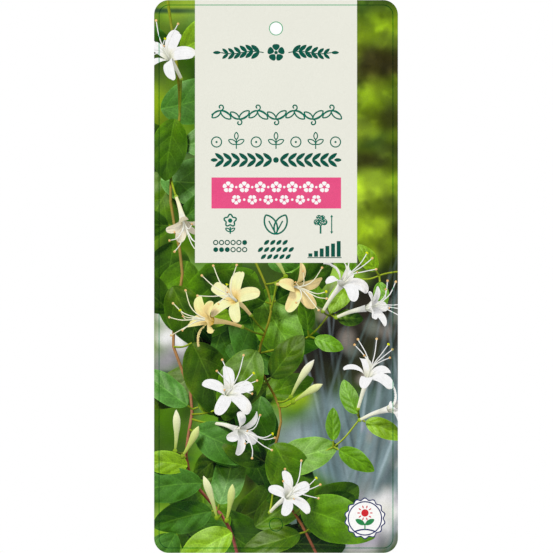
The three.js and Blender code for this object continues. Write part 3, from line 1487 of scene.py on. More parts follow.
    def captions(self) -> list[Array]:
        """Returns the marks under the pictograms: months, leaf row and height scale."""
        (first, second, third), drop, loops = self.columns, self.row_drop, []
        for month in range(12):
            x, y = first + (month % 6 - 2.5) * self.month_step, 13.8 - drop * (month // 6)
            loops += [circle(x, y, 1.0, 20)] if month in self.bloom else ring(x, y, 0.64, 0.44, 20)
        for row, count in enumerate((4, 6, 5)):
            roots = [(x - 1.0, 12.9 - drop * row) for x in in_row(second, count, 2.5)]
            loops += [blade_loop(root, 42, 2.8, 1.45) for root in roots]
        for number, x in enumerate(in_row(third, 6, 2.3)):
            loops.append(box_loop(x - 0.8, 8.0, x + 0.8, 9.4 + number))
        return loops + stroke(np.linspace((third - 6.9, 7.65), (third + 6.9, 7.65), 4), 0.34)

    def seal(self) -> list[Mark]:
        """Returns the round seal: a scalloped disc with a ring, a sun and a seedling."""
        (x, y), radius, scallops = self.seal_place, self.seal_radius, self.seal_scallops
        ground = [(x + dx, y - 4.5 - 0.05 * dx**2) for dx in np.linspace(-4.4, 4.4, 12)]
        sun = spot(x, y, 90, 2.2)
        rays = [blade_loop(spot(*sun, degrees, 1.9), degrees, 1.3, 0.5) for degrees in range(0, 360, 36)]
        seedling = leaf_pair((x, y - 2.6), 90, 60, 4.4, 2.1)
        seedling += stroke([(x, y - 4.6), (x, y - 3.4), (x, y - 2.2)], 0.5)
        return [
            Mark(Ink.NAVY, [circle(x, y, radius, 144, 0.42, scallops)]),
            Mark(Ink.WHITE, [circle(x, y, radius - 0.5, 144, 0.4, scallops)]),
            Mark(Ink.NAVY, ring(x, y, 6.5, 0.5, 64) + stroke(ground, 0.6)),
            Mark(Ink.RED, [circle(*sun, 1.5, 28), *rays]),
            Mark(Ink.GREEN, seedling),
        ]


@dataclass(frozen=True)
class BackArt:
    """The plain one-colour design of the back: sprig, writing rules, care symbols."""

    front: PanelArt
    sprig_rise: float = 84.0
    rule_reach: float = 34.0
    rule_step: float = 7.0
    frame_reach: float = 14.0
    clock_radius: float = 8.4
    ruler_reach: float = 80.0
    ruler_inset: float = 5.0
    tick: float = 0.15

    # middles of the four frames: sun, water, planting, months in bloom
    FRAMES = ((-20, 34), (20, 34), (-20, -4), (20, -4))

    def marks(self) -> list[Mark]:
        """Returns every mark of the back, from the lowest up."""
        width, height = self.front.face.width, self.front.face.height
        sprig = self.front.sprig(0, self.sprig_rise, 37, 1.25)
        return [
            Mark(Ink.PANEL, [box_loop(-width, -height, width, height)]),
            Mark(Ink.PINE, sprig + self.rules() + self.care_symbols() + self.ruler()),
            Mark(Ink.CUT_LINE, self.front.cut_line()),
        ]

    def rules(self) -> list[Array]:
        """Returns blank rules to write on: two bold ones and seven fine ones."""
        rows = [(68, 0.4), (58, 0.4)] + [(-38 - self.rule_step * number, 0.25) for number in range(7)]
        ends = [((-self.rule_reach, rise), (self.rule_reach, rise), breadth) for rise, breadth in rows]
        return [loop for start, end, breadth in ends for loop in stroke(np.linspace(start, end, 4), breadth)]

    def care_symbols(self) -> list[Array]:
        """Returns the framed symbols: sun, water, planting and the months in bloom."""
        (x, y), drop, spade, months = self.FRAMES
        frame = rounded_box(self.frame_reach, self.frame_reach, 3, 8)
        loops = outlined([frame + place for place in self.FRAMES], 0.35) + [circle(x, y, 3.6, 32)]
        loops += [blade_loop(spot(x, y, degrees, 4.8), degrees, 4.2, 1.1) for degrees in range(0, 360, 30)]
        turn = np.linspace(0, 2 * math.pi, 49)[:-1]
        width = 5.0 * np.sin(turn) * np.sin(turn / 2) ** 1.6
        loops.append(np.stack([drop[0] - width, drop[1] + 7.5 * np.cos(turn)], 1))
        x, y = spade
        loops += [box_loop(x - 0.6, y - 1, x + 0.6, y + 8), box_loop(x - 2.6, y + 7.4, x + 2.6, y + 8.6)]
        loops.append(blade_loop((x, y + 0.6), 270, 9.0, 6.4, (0.3, 0.6)))
        for month in range(12):
            place = spot(*months, 90 - 30 * month, self.clock_radius)
            bloom = month in self.front.bloom
            loops += [circle(*place, 1.5, 24)] if bloom else ring(*place, 1.15, 0.35, 24)
        return loops + rosette(*months, 3.6) + [circle(*months, 0.8, 16)]

    def ruler(self) -> list[Array]:
        """Returns the planting-depth scale: a tick each 5 mm, and a long one each 10 mm."""
        edge, reach, half = self.front.face.width / 2 - self.ruler_inset, self.ruler_reach, self.tick
        ticks = [(4.0 if number % 2 == 0 else 2.2, 5 * number - reach) for number in range(33)]
        loops = [box_loop(edge - length, rise - half, edge, rise + half) for length, rise in ticks]
        return loops + [box_loop(edge, -reach - half, edge + 2 * half, reach + half)]


# ---- the picture as areas of ink


class Picture:
    """The printed picture: a sharp plant before a blurred garden."""

    LENS = 0.085
    LENS_RAYS = 28
    ROUGH_LENS_RAYS = 8
    GARDEN_PITCH = 1.0
    OUTLINE_LIFT = 0.3

    def __init__(self, face: CardFace, quick: bool) -> None:
        """Grows the plant and the blurred foliage behind it.

        Args:
            face: the card's size.
            quick: trace few rays, for a rough look.
        """
        self.quick = quick
        garden = GardenScene()
        self.near = StillLife(garden.grow())
        self.backdrop = Backdrop()
        reaches = (size / 2 + 2 * self.GARDEN_PITCH for size in (face.width, face.height))
        self.columns, self.rows = (np.arange(-reach, reach, self.GARDEN_PITCH) for reach in reaches)
        self.far_layer = self.blurred(StillLife(garden.grow_far()))

    def blurred(self, far: StillLife) -> Array:
        """Returns the far foliage as a wide lens sees it.

        Args:
            far: the foliage behind the plant.

        Returns:
            Its colour, scaled by how much of the view it fills, and that share,
            for each row and column of a coarse grid.
        """
        lit = far.shade(far.corners, quick=True)[far.triangles].mean(1)
        x, y = np.meshgrid(self.columns, self.rows)
        starts = np.stack([x.ravel(), y.ravel(), np.zeros(x.size)], 1).tolist()
        rays = self.ROUGH_LENS_RAYS if self.quick else self.LENS_RAYS
        layer = np.zeros((x.size, 4))
        for number in range(rays):
            slope, turn = self.LENS * math.sqrt((number + 0.5) / rays), number * GOLDEN_TURN
            way = Vector((slope * math.cos(turn), slope * math.sin(turn), -1)).normalized()
            faces = [far.tree.ray_cast(start, way)[2] for start in starts]
            faces = np.array([-1 if face is None else face for face in faces])
            layer[faces >= 0] += np.column_stack([lit, np.ones(len(lit))])[faces[faces >= 0]] / rays
        layer = layer.reshape(len(self.rows), len(self.columns), 4)
        for axis in (0, 1):
            layer = 0.5 * layer + 0.25 * (np.roll(layer, 1, axis) + np.roll(layer, -1, axis))
        return layer

    def outlines(self, printed: Callable[[Array], Array]) -> list[Array]:
        """Returns the stretches of the plant's outlines that nothing hides.

        Args:
            printed: tells for each point whether the picture is printed there.
        """
        lines = []
        for skin in self.near.skins:
            loop = skin.outline()
            middles = (loop[1:] + loop[:-1]) / 2
            shown = printed(middles[:, :2]) & (np.linalg.norm(np.diff(loop[:, :2], axis=0), axis=1) > 1e-3)
            shown[shown] = ~self.near.hidden(middles[shown], self.OUTLINE_LIFT)
            turns = np.flatnonzero(np.diff(np.concatenate([[0], shown, [0]])))
            lines += [loop[start:end + 1, :2] for start, end in turns.reshape(-1, 2)]
        return lines

    def garden_colours(self, points: Array) -> Array:
        """Returns the out-of-focus garden's colour at each flat point.

        Args:
            points: flat places.
        """
        place = (points - (self.columns[0], self.rows[0])) / self.GARDEN_PITCH
        place = np.clip(place, 0, (len(self.columns) - 1.001, len(self.rows) - 1.001))
        (column, row), (right, top) = place.astype(int).T, (place % 1).T
        layer = self.far_layer
        low, high = (blend(layer[at, column], layer[at, column + 1], right) for at in (row, row + 1))
        here = blend(low, high, top)
        return self.backdrop.colours(points) * (1 - here[:, 3:]) + here[:, :3]


@dataclass
class Patch:
    """A flat patch of triangles, with the print colour and the skin guides of each corner."""

    points: Array
    triangles: Array
    colour: Array
    blade: Array
    skin: Array

    @classmethod
    def joined(cls, patches: list[Patch]) -> Patch:
        """Returns several patches as one.

        Args:
            patches: what to join.
        """
        firsts = np.cumsum([0] + [len(patch.points) for patch in patches[:-1]])
        blocks = ([getattr(patch, key) for patch in patches] for key in ("points", "colour", "blade", "skin"))
        points, colour, blade, skin = (np.vstack(block) for block in blocks)
        triangles = np.vstack([patch.triangles + first for patch, first in zip(patches, firsts)])
        return cls(points, triangles, colour, blade, skin)

    def part(self, triangles: Array) -> Patch:
        """Returns the part of the patch that some of its triangles make up.

        Args:
            triangles: those triangles.
        """
        used, numbers = np.unique(triangles, return_inverse=True)
        return Patch(
            self.points[used], numbers.reshape(-1, 3), self.colour[used], self.blade[used], self.skin[used]
        )


SLIVER = 1e-7


def cut_plane(
    points: Array, edges: list[tuple[int, int]], merge: float, loops: list[Array],
) -> tuple[Array, Array]:
    """Returns a flat triangulation that keeps the edges and fills the loops.

    Args:
        points: the flat points.
        edges: the numbers of the points that each edge joins.
        merge: the distance under which points become one.
        loops: closed outlines; holes run clockwise.
    """
    found = delaunay_2d_cdt([Vector(pair) for pair in points.tolist()], edges, [], 0, merge, False)
    flat, triangles = np.array([tuple(corner) for corner in found[0]]), np.array(found[2])
    first, second, third = (flat[triangles[:, turn]] for turn in range(3))
    area = (second - first)[:, 0] * (third - first)[:, 1] - (second - first)[:, 1] * (third - first)[:, 0]
    turned = np.where(area[:, None] < 0, triangles[:, ::-1], triangles)
    return flat, turned[(winding(flat[triangles].mean(1), loops) > 0) & (np.abs(area) > SLIVER)]


def loop_edges(loops: Iterable[Array], closed: bool = True, first: int = 0) -> list[tuple[int, int]]:
    """Returns the edges along loops or lines, as pairs of point numbers.

    Args:
        loops: loops or open lines, whose points are numbered on from each other.
        closed: the last point of each joins its first.
        first: the number of the first point.
    """
    edges = []
    for loop in loops:
        numbers = range(first, first + len(loop))
        edges += zip(numbers, (*numbers[1:], first) if closed else numbers[1:])
        first += len(loop)
    return edges


def dense(loop: Array, step: float) -> Array:
    """Returns a loop with points added along its longer edges.

    Args:
        loop: a closed loop.
        step: the longest edge that stays whole.
    """
    ends = np.roll(loop, -1, 0)
    counts = np.ceil(np.linalg.norm(ends - loop, axis=1) / step).astype(int)
    return np.vstack([np.linspace(*run, max(1, n), endpoint=False) for *run, n in zip(loop, ends, counts)])


class FacePrint:
    """One printed face of the card, cut into flat areas of ink.

    The card's outline, every mark and every visible outline of the plant become
    edges of one flat triangulation, so neighbouring inks meet without overlap.
    """

    MERGE = 1e-4
    NUDGE = 0.03
    PICTURE_PITCH = 0.37
    ROUGH_PITCH = 1.0
    OVERPRINT = 0.85

    def __init__(self, face: CardFace, marks: list[Mark], picture: Picture | None) -> None:
        """Notes what is printed on the face.

        Args:
            face: the card's size.
            marks: the flat marks, from the lowest up.
            picture: the picture under them, if the face has one.
        """
        self.face = face
        self.marks = marks
        self.picture = picture
        self.pitch = self.PICTURE_PITCH if picture and not picture.quick else self.ROUGH_PITCH
        self.card = face.outline(face.trim)

    def picture_grid(self) -> Array:
        """Returns a honeycomb of points over the part of the face that the picture fills."""
        half_width, half_height = self.face.width / 2, self.face.height / 2
        rows = np.arange(-half_height, half_height, self.pitch * math.sqrt(3) / 2)
        x, y = np.meshgrid(np.arange(-half_width, half_width, self.pitch), rows)
        x = x + np.where(np.arange(len(rows)) % 2, self.pitch / 2, 0)[:, None]
        points = np.stack([x.ravel(), y.ravel()], 1)
        return points[self.in_picture(points)]

    def in_picture(self, points: Array) -> Array:
        """Returns whether the picture shows at each point, with no mark over it.

        Args:
            points: flat places.
        """
        inside = winding(points, self.card) > 0
        for mark in self.marks:
            if mark.ink is not Ink.CUT_LINE:
                inside &= winding(points, mark.loops) == 0
        return inside

    def triangulated(self) -> tuple[Array, Array]:
        """Returns the points and triangles of the whole face, all edges kept."""
        loops = self.card + [loop for mark in self.marks for loop in mark.loops]
        loops = [dense(loop, self.pitch) for loop in loops] if self.picture else loops
        edges, points = loop_edges(loops), loops
        if self.picture:
            lines = self.picture.outlines(self.in_picture)
            edges = edges + loop_edges(lines, closed=False, first=sum(len(loop) for loop in loops))
            points = loops + lines + [self.picture_grid()]
        return cut_plane(np.vstack(points), edges, self.MERGE, self.card)

    def build(self) -> dict[str, Patch]:
        """Returns the face's areas of ink by name."""
        flat, triangles = self.triangulated()
        LOG.info("face cut into %d triangles", len(triangles))
        centres = flat[triangles].mean(1)
        top, under = np.full((2, len(centres)), -1)
        for number, mark in enumerate(self.marks):
            covered = winding(centres, mark.loops) > 0
            top[covered] = number
            if mark.ink is not Ink.CUT_LINE:
                under[covered] = number
        areas = defaultdict(list)
        pictured = (under < 0) & (self.picture is not None)
        for number, mark in enumerate(self.marks):
            chosen = (top == number) & ~pictured
            if chosen.any():
                colour = np.tile(linear(*mark.ink.value), (len(flat), 1))
                blank = np.zeros_like(colour)
                patch = Patch(flat, triangles, colour, blank, blank).part(triangles[chosen])
                areas[mark.ink.name.lower()].append(patch)
        if self.picture:
            for overprint in (True, False):
                chosen = pictured & ((top >= 0) == overprint)
                for name, patch in self.picture_areas(flat, triangles[chosen], centres[chosen], overprint):
                    areas[name].append(patch)
        return {name: Patch.joined(patches) for name, patches in areas.items()}

    def picture_areas(
        self, flat: Array, triangles: Array, centres: Array, overprint: bool,
    ) -> Iterable[tuple[str, Patch]]:
        """Yields the picture's areas, each triangle in that of the tissue that shows there.

        Args:
            flat: the face's points.
            triangles: the picture's triangles.
            centres: their middles.
            overprint: the green of the cutting line lies over them.
        """
        near = self.picture.near
        struck = near.seen(centres)
        skins = np.where(struck >= 0, near.owners[struck], -1)
        pairs = np.stack([triangles.ravel(), np.repeat(skins, 3)], 1)
        pairs, numbers = np.unique(pairs, axis=0, return_inverse=True)
        numbers = numbers.reshape(-1, 3)
        middle, home = np.zeros((len(pairs), 2)), np.zeros(len(pairs), int)
        middle[numbers.ravel()] = np.repeat(centres, 3, axis=0)
        home[numbers.ravel()] = np.repeat(struck, 3)
        points = flat[pairs[:, 0]]
        inward = middle - points
        depth = np.linalg.norm(inward, axis=1, keepdims=True)
        inner = points + inward * self.NUDGE / np.maximum(depth, self.NUDGE)
        seen = near.seen(inner)
        home = np.where((seen >= 0) & (near.owners[seen] == pairs[:, 1]), seen, home)

        colour, blade, skin = np.zeros((3, len(pairs), 3))
        plant = pairs[:, 1] >= 0
        at = near.sample(inner[plant], home[plant])
        colour[plant] = near.shade(at, self.picture.quick)
        blade[plant], skin[plant] = self.vein_guides(near, at)
        colour[~plant] = self.picture.garden_colours(points[~plant])
        if overprint:
            colour = colour * linear(*Ink.CUT_LINE.value) ** self.OVERPRINT

        whole = Patch(points, numbers, colour, blade, skin)
        kinds = np.where(skins >= 0, near.tissues[skins], "garden")
        for name in np.unique(kinds):
            yield "cut_line" if overprint else str(name), whole.part(numbers[kinds == name])

    @staticmethod
    def vein_guides(life: StillLife, at: Samples) -> tuple[Array, Array]:
        """Returns what the node materials draw fine detail from.

        Args:
            life: the plant.
            at: the places on it.

        Returns:
            For each place the side-vein phase, the distance from the midrib in mm
            and the mm between veins; and its share along, share across and seed.
        """
        profile = blade_profile(np.clip(at.along, 1e-3, 1 - 1e-3), Leaf.ROOT_POWER, Leaf.TIP_POWER)
        midrib = at.across * life.breadths[at.skin] / 2 * profile
        gap = life.lengths[at.skin] / np.maximum(life.veins[at.skin], 1)
        guides = (life.vein_phase(at), midrib, gap), (at.along, at.across, life.seeds[at.skin])
        return np.stack(guides[0], 1), np.stack(guides[1], 1)


# ---- finishes


class Graph:
    """A new material's node tree, with short calls that add and link nodes."""

    def __init__(self, name: str) -> None:
        """Starts a material with a Principled shader and its output.

        Args:
            name: the material's name.
        """
        self.material = bpy.data.materials.new(name)
        self.material.use_nodes = True
        self.tree = self.material.node_tree
        self.tree.nodes.clear()
        self.shader = self.node("ShaderNodeBsdfPrincipled")
        self.feed(self.node("ShaderNodeOutputMaterial").inputs["Surface"], self.shader.outputs["BSDF"])
        self.place = self.node("ShaderNodeTexCoord").outputs["Object"]

    def node(self, kind: str, **settings: object) -> bpy.types.Node:
        """Returns a new node.

        Args:
            kind: the node's type.
            **settings: the node's own settings.
        """
        made = self.tree.nodes.new(kind)
        for name, value in settings.items():
            setattr(made, name, value)
        return made

    def feed(self, target: Socket, value: object) -> None:
        """Gives an input a link or a plain value.

        Args:
            target: the input.
            value: an output to link, or a value.
        """
        if isinstance(value, bpy.types.NodeSocket):
            self.tree.links.new(value, target)
        else:
            target.default_value = value

    def set(self, **values: object) -> None:
        """Gives the shader's inputs, named with underscores, their links or values."""
        for name, value in values.items():
            self.feed(self.shader.inputs[name.replace("_", " ")], value)

    def fed(self, kind: str, inputs: dict[str | int, object], **settings: object) -> Socket:
        """Returns the first output of a new node.

        Args:
            kind: the node's type.
            inputs: the link or plain value of each input, by name or number.
            **settings: the node's own settings.
        """
        made = self.node(kind, **settings)
        for key, value in inputs.items():
            self.feed(made.inputs[key], value)
        return made.outputs[0]

    def math(self, operation: str, *values: object) -> Socket:
        """Returns the output of a Math node."""
        return self.fed("ShaderNodeMath", dict(enumerate(values)), operation=operation)

    def range(self, value: Socket, start: float, end: float, low: object, high: float) -> Socket:
        """Returns the value carried smoothly from start..end to low..high."""
        inputs = dict(enumerate((value, start, end, low, high)))
        return self.fed("ShaderNodeMapRange", inputs, interpolation_type="SMOOTHSTEP")

    def mix(self, share: object, first: object, second: object, blend: str = "MIX") -> Socket:
        """Returns the colour output of a Mix node.

        Args:
            share: how much of the second colour goes in.
            first: the first colour.
            second: the second colour.
            blend: how they are combined.
        """
        made = self.node("ShaderNodeMix", data_type="RGBA", blend_type=blend, clamp_result=False)
        for name, value in (("Factor", share), ("A", first), ("B", second)):
            socket = next(item for item in made.inputs if item.name == name and item.enabled)
            self.feed(socket, value)
        return next(item for item in made.outputs if item.enabled)

    def scaled(self, colour: Socket, factor: Socket | float) -> Socket:
        """Returns the colour made lighter or darker by a factor."""
        return self.fed("ShaderNodeVectorMath", {0: colour, "Scale": factor}, operation="SCALE")

    def swung(self, colour: Socket, size: float, swing: float, detail: float = 2.0) -> Socket:
        """Returns the colour made lighter and darker by a noise."""
        return self.scaled(colour, self.range(self.noise(size, detail), 0.3, 0.7, 1 - swing, 1 + swing))

    def noise(self, size: float, detail: float = 2.0, place: Socket | None = None) -> Socket:
        """Returns a noise from 0 to 1 whose features have the given size in mm."""
        inputs = {"Vector": place or self.place, "Scale": 1 / (size * MM), "Detail": detail}
        return self.fed("ShaderNodeTexNoise", inputs)

    def attribute(self, name: str) -> Sequence[Socket]:
        """Returns the three parts of one of the mesh's own attributes."""
        whole = self.node("ShaderNodeAttribute", attribute_name=name).outputs["Vector"]
        return self.fed("ShaderNodeSeparateXYZ", {0: whole}).node.outputs

    def bump(self, height: Socket, strength: float, depth: float) -> None:
        """Gives the shader a relief of the given depth in mm."""
        inputs = {"Strength": strength, "Distance": depth * MM, "Height": height}
        self.set(Normal=self.fed("ShaderNodeBump", inputs))


@dataclass(frozen=True)
class PrintFinish:
    """Ink under a clear satin film.

    The ink's density drifts slowly over the sheet and has a fine grain. The
    film has a fine orange peel and a nearly even gloss.
    """

    grain: float = 0.06
    drift: float = 0.04
    drift_size: float = 28.0

    GRAIN_SIZE = 0.38
    ROUGHNESS = (0.19, 0.33)
    COAT = 0.25
    COAT_ROUGHNESS = 0.16
    SPECULAR = 0.42
    PEEL_SIZE = 1.3
    PEEL_DEPTH = 0.012

    def detail(self, graph: Graph, colour: Socket) -> Socket:
        """Returns the colour unchanged; the leaf and streak finishes draw their fine detail here instead."""
        return colour

    def material(self, name: str) -> bpy.types.Material:
        """Returns the finish as a material that reads the mesh's Print colour.

        Args:
            name: the material's name.
        """
        graph = Graph(name)
        ink = graph.node("ShaderNodeAttribute", attribute_name="Print").outputs["Color"]
        colour = graph.swung(self.detail(graph, ink), self.drift_size, self.drift)
        graph.set(
            Base_Color=graph.swung(colour, self.GRAIN_SIZE, self.grain),
            Specular_IOR_Level=self.SPECULAR,
            Coat_Weight=self.COAT,
            Coat_Roughness=self.COAT_ROUGHNESS,
            Roughness=graph.range(graph.noise(9.0, 3.0), 0.3, 0.7, *self.ROUGHNESS),
        )
        grit = graph.math("MULTIPLY", graph.noise(0.22, 1.0), 0.2)
        graph.bump(graph.math("ADD", graph.noise(self.PEEL_SIZE), grit), 0.5, self.PEEL_DEPTH)
        return graph.material


@dataclass(frozen=True)
class LeafFinish(PrintFinish):
    """Leaves: a pale midrib, curved side veins and a net of small cells between."""

    midrib: Span = (0.12, 0.4)
    side_vein: Span = (0.06, 0.34)
    margin: Span = (0.95, 1.0)
    midrib_strength: float = 0.62
    side_strength: float = 0.5
    margin_strength: float = 0.3
    lift: float = 1.45
    haze: Tint = (0.034, 0.05, 0.006, 1.0)
    net_size: float = 1.1
    net_strength: float = 0.16

    def detail(self, graph: Graph, colour: Socket) -> Socket:
        """Returns the colour with veins and cells drawn on it.

        Args:
            graph: the material's nodes.
            colour: the ink.
        """
        inputs = {"Vector": graph.place, "Scale": 1 / (self.net_size * MM)}
        from_edge = graph.fed("ShaderNodeTexVoronoi", inputs, feature="DISTANCE_TO_EDGE")
        shares = 1 + self.net_strength, 1 - self.net_strength * 0.35
        net = graph.range(from_edge, 0.0, 0.22, *shares)
        colour = graph.swung(graph.scaled(colour, net), 3.2, 0.1, 3.0)

        phase, from_midrib, gap = graph.attribute("blade")
        along, across, _ = graph.attribute("skin")
        wander = graph.math("MULTIPLY_ADD", graph.noise(2.2), 0.12, 0.44)
        fraction = graph.math("FRACT", graph.math("ADD", phase, wander))
        from_vein = graph.math("MULTIPLY", graph.math("ABSOLUTE", graph.math("SUBTRACT", fraction, 0.5)), gap)
        spread = graph.math("ABSOLUTE", across)
        thin = graph.range(spread, 0.5, 1.0, self.side_strength, 0.0)
        side = graph.math("MULTIPLY", graph.range(from_vein, *self.side_vein, 1.0, 0.0), thin)
        rib = graph.range(graph.math("ABSOLUTE", from_midrib), *self.midrib, 1.0, 0.0)
        rib = graph.math("MULTIPLY", rib, graph.range(along, 0.55, 1.0, self.midrib_strength, 0.1))
        rim = graph.range(spread, *self.margin, 0.0, self.margin_strength)
        pale = graph.mix(1.0, graph.scaled(colour, self.lift), self.haze, "ADD")
        return graph.mix(graph.math("MAXIMUM", graph.math("MAXIMUM", side, rib), rim), colour, pale)


@dataclass(frozen=True)
class StreakFinish(PrintFinish):
    """Petals, stems and buds: fine streaks that run from root to tip."""

    streaks: float = 4.0
    strength: float = 0.07

    def detail(self, graph: Graph, colour: Socket) -> Socket:
        """Returns the colour with streaks drawn along the skin.

        Args:
            graph: the material's nodes.
            colour: the ink.
        """
        along, across, seed = graph.attribute("skin")
        scales = (across, self.streaks), (along, 1.6), (seed, 37.0)
        lane = [graph.math("MULTIPLY", value, factor) for value, factor in scales]
        streak = graph.noise(1 / MM, 2.0, graph.fed("ShaderNodeCombineXYZ", dict(enumerate(lane))))
        return graph.scaled(colour, graph.range(streak, 0.3, 0.7, 1 - self.strength, 1 + 0.6 * self.strength))


@dataclass(frozen=True)
class SheetFinish:
    """Bare white polypropylene, as the cut edge shows it."""

    white: Tint = (0.86, 0.865, 0.85, 1.0)
    shaded: Tint = (0.74, 0.745, 0.72, 1.0)
    roughness: Span = (0.36, 0.52)
    subsurface: float = 0.15
    subsurface_scale: float = 0.0006
    drag: Point = (1.0, 0.06, 1.0)
    drag_size: float = 0.12
    drag_depth: float = 0.01

    def material(self, name: str) -> bpy.types.Material:
        """Returns the finish as a material.

        Args:
            name: the material's name.
        """
        graph = Graph(name)
        cloud = graph.range(graph.noise(2.5, 3.0), 0.35, 0.7, 0.0, 1.0)
        graph.set(
            Base_Color=graph.mix(cloud, self.white, self.shaded),
            Roughness=graph.range(graph.noise(1.2), 0.3, 0.7, *self.roughness),
            Subsurface_Weight=self.subsurface,
            Subsurface_Scale=self.subsurface_scale,
        )
        drag = graph.fed("ShaderNodeMapping", {"Scale": self.drag, "Vector": graph.place})
        graph.bump(graph.noise(self.drag_size, 2.0, drag), 0.4, self.drag_depth)
        return graph.material


FINISHES: dict[str, PrintFinish] = {
    "garden": PrintFinish(drift_size=6.0, drift=0.06),
    "leaf": LeafFinish(),
    "petal": StreakFinish(grain=0.03, drift_size=2.4, drift=0.03, streaks=7.0, strength=0.05),
    "stem": StreakFinish(drift_size=2.4, drift=0.1, strength=0.16),
    "bud": StreakFinish(grain=0.04, drift_size=2.4, drift=0.03),
    "stamen": StreakFinish(grain=0.04, drift_size=2.4, drift=0.03, streaks=2.0, strength=0.05),
    "panel": PrintFinish(grain=0.008, drift=0.006),
    "white": PrintFinish(grain=0.015, drift=0.012),
    "pine": PrintFinish(grain=0.12, drift=0.06),
    "teal": PrintFinish(grain=0.12, drift=0.06),
}


# ---- the assembly


def piece(name: str, points: Array, faces: Sequence[Point], material: bpy.types.Material) -> bpy.types.Object:
    """Returns a finished mesh object that rides on the card.

    Args:
        name: the piece's name.
        points: its corners in the frame, in metres.
        faces: the corner numbers of each face.
        material: its finish.
    """
    mesh = bpy.data.meshes.new(name)
    mesh.from_pydata(points.tolist(), [], [list(face) for face in faces])
    mesh.materials.append(material)
    made = bpy.data.objects.new(name, mesh)
    bpy.context.scene.collection.objects.link(made)
    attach(made, "root")
    LOG.info("%s: %d faces", name, len(mesh.polygons))
    return made


@dataclass(frozen=True)
class CardBody:
    """The bare sheet: a closed plate with softened die-cut edges and a hole."""

    face: CardFace
    edge_radius: float = 0.04
    ink_depth: float = 0.02
    edge_steps: int = 4
    finish: SheetFinish = SheetFinish()

    def profile(self) -> Array:
        """Returns the rim's steps as rows of inset and height above the middle plane, in mm."""
        turn = np.linspace(math.pi / 2, 0, self.edge_steps + 1)
        inset = self.edge_radius * (1 - np.cos(turn))
        height = self.face.thickness / 2 - self.ink_depth - self.edge_radius * (1 - np.sin(turn))
        front = np.stack([inset, height], 1)
        return np.vstack([front, front[::-1] * (1, -1)])

    def build(self) -> bpy.types.Object:
        """Returns the sheet, which stands for the CAD card."""
        rings = [self.face.outline(inset) for inset, _ in self.profile()]
        points = [self.face.placed(np.vstack(loops), out) for loops, (_, out) in zip(rings, self.profile())]
        count = len(points[0])
        here = np.arange((len(rings) - 1) * count).reshape(-1, count)
        after = np.hstack([np.roll(part, -1, 1) for part in np.split(here, [len(rings[0][0])], axis=1)])
        rim = np.stack([here, here + count, after + count, after], -1).reshape(-1, 4)
        _, front = cut_plane(np.vstack(rings[0]), loop_edges(rings[0]), SLIVER, rings[0])
        back = front[:, ::-1] + (len(rings) - 1) * count
        faces = [*rim.tolist(), *front.tolist(), *back.tolist()]
        body = piece("card_body", np.vstack(points), faces, self.finish.material("white_polypropylene"))
        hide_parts("label_card")
        return body


@dataclass
class PrintedFace:
    """One printed face as pieces of ink that lie on the sheet."""

    face: CardFace
    marks: list[Mark]
    picture: Picture | None = None
    back: bool = False

    def dress(self) -> None:
        """Makes the face's pieces, one for each ink or kind of tissue."""
        side = "back" if self.back else "front"
        for ink, area in FacePrint(self.face, self.marks, self.picture).build().items():
            material = FINISHES.get(ink, PrintFinish()).material(f"{side}_print_{ink}_ink")
            placed = self.face.placed(area.points, self.face.thickness / 2, self.back)
            made = piece(f"{side}_print_{ink}", placed, area.triangles.tolist(), material)
            self.carry(made, "Print", "color", np.column_stack([area.colour, np.ones(len(area.colour))]))
            if np.any(area.skin):
                self.carry(made, "blade", "vector", area.blade)
                self.carry(made, "skin", "vector", area.skin)

    @staticmethod
    def carry(made: bpy.types.Object, name: str, key: str, values: Array) -> None:
        """Gives each corner of a piece a value that its finish reads."""
        layer = made.data.attributes.new(name, "FLOAT_" + key.upper(), "POINT")
        layer.data.foreach_set(key, values.astype(np.float32).ravel())


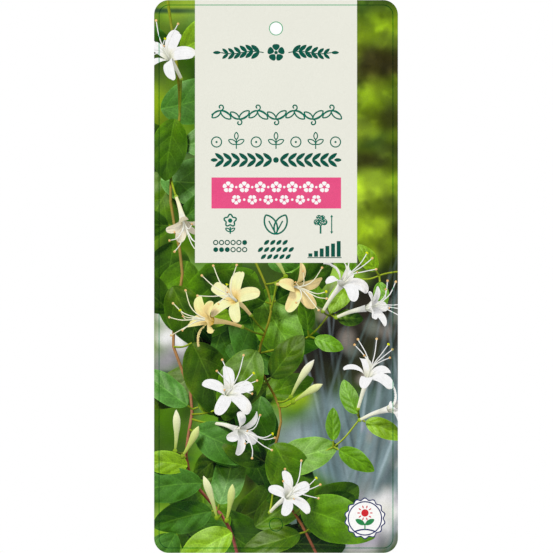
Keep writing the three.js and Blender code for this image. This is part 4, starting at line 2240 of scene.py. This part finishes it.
@dataclass(frozen=True)
class Studio:
    """A pale floor, soft daylight and the camera in front of the card."""

    face: CardFace
    floor_drop: float = 0.12
    floor_size: float = 0.9
    floor_tints: tuple[Tint, Tint] = ((0.83, 0.83, 0.82, 1.0), (0.86, 0.86, 0.85, 1.0))
    lens: float = 100.0
    sensor: float = 36.0
    view_height: float = 0.2245
    view_offset: float = 0.0002
    backdrop_light: float = 1.0
    fill_light: float = 0.8
    mirror_light: float = 0.03
    lamp_power: float = 4.0
    lamp_size: float = 0.7
    lamp_place: Point = (1.1, 0.65, 0.25)

    def placed(self, name: str, data: bpy.types.ID, offset: Point) -> bpy.types.Object:
        """Returns a new object.

        Args:
            name: its name.
            data: its mesh, lamp or camera.
            offset: from the card's centre, in metres.
        """
        made = bpy.data.objects.new(name, data)
        made.location = Vector(self.face.centre) + Vector(offset)
        bpy.context.scene.collection.objects.link(made)
        return made

    def floor(self) -> None:
        """Adds the floor, well below the hanging card."""
        x, y = (self.floor_size * np.array(axis) for axis in ((-0.5, 0.5, 0.5, -0.5), (-0.5, -0.5, 0.5, 0.5)))
        mesh = bpy.data.meshes.new("studio_floor")
        mesh.from_pydata(np.stack([x, y, 0 * x], 1).tolist(), [], [(0, 1, 2, 3)])
        graph = Graph("pale_floor")
        cloud = graph.range(graph.noise(90.0, 3.0), 0.3, 0.7, 0.0, 1.0)
        graph.set(
            Base_Color=graph.mix(cloud, *self.floor_tints),
            Roughness=graph.range(cloud, 0, 1, 0.55, 0.65),
        )
        mesh.materials.append(graph.material)
        self.placed("studio_floor", mesh, (0, 0, -self.face.height * MM / 2 - self.floor_drop))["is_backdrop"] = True

    def daylight(self) -> None:
        """Sets an even white surround, dimmer in reflections than to the eye."""
        world = bpy.data.worlds.new("white_studio")
        bpy.context.scene.world = world
        world.use_nodes = True
        tree = world.node_tree
        tree.nodes.clear()
        path = tree.nodes.new("ShaderNodeLightPath")
        light = None
        for kind, strength in (
            (None, self.fill_light),
            ("Is Glossy Ray", self.mirror_light),
            ("Is Camera Ray", self.backdrop_light),
        ):
            sky = tree.nodes.new("ShaderNodeBackground")
            sky.inputs["Color"].default_value = (1, 1, 1, 1)
            sky.inputs["Strength"].default_value = strength
            if kind is None:
                light = sky.outputs[0]
                continue
            choice = tree.nodes.new("ShaderNodeMixShader")
            for socket, source in zip(choice.inputs, (path.outputs[kind], light, sky.outputs[0])):
                tree.links.new(source, socket)
            light = choice.outputs[0]
        tree.links.new(light, tree.nodes.new("ShaderNodeOutputWorld").inputs["Surface"])

    def lamps(self) -> None:
        """Adds four large soft lamps, all well off the camera's axis."""
        x, y, z = self.lamp_place
        for number, side in enumerate(((-x, -y, z), (x, -y, z), (-x, y, z), (x, y, z))):
            lamp = bpy.data.lights.new(f"soft_lamp_{number}", "AREA")
            lamp.shape = "SQUARE"
            lamp.size = self.lamp_size
            lamp.energy = self.lamp_power
            turn = (-Vector(side)).to_track_quat("-Z", "Y")
            self.placed(lamp.name, lamp, side).rotation_euler = turn.to_euler()

    def camera(self) -> None:
        """Adds the camera, level with the card's centre and square to its front."""
        lens = bpy.data.cameras.new("camera")
        lens.lens = self.lens
        lens.sensor_width = self.sensor
        lens.dof.use_dof = False
        away = self.view_height * self.lens / self.sensor + self.face.thickness * MM / 2
        holder = self.placed("camera", lens, (self.view_offset, -away, 0))
        holder.rotation_euler = (math.pi / 2, 0, 0)
        bpy.context.scene.camera = holder

    def build(self) -> None:
        """Sets the whole studio and a plain view transform."""
        for step in (self.floor, self.daylight, self.lamps, self.camera):
            step()
        settings = bpy.context.scene.view_settings
        settings.view_transform = "Standard"
        settings.look = "None"


def corners(box: tuple[Vector, Vector]) -> list[list[float]]:
    """Returns a box's lowest and highest corners as plain lists."""
    return [list(corner) for corner in box]


def main() -> None:
    """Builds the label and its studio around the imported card."""
    logging.basicConfig(level=logging.INFO, format="%(message)s")
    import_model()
    cad_box = corners(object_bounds())
    face = CardFace.measured("label_card")
    CardBody(face).build()
    front = PanelArt(face)
    PrintedFace(face, front.marks(), Picture(face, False)).dress()
    PrintedFace(face, BackArt(front).marks(), back=True).dress()
    Studio(face).build()
    {"cad": cad_box, "visual": corners(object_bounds())}


if __name__ == "__main__":
    main()
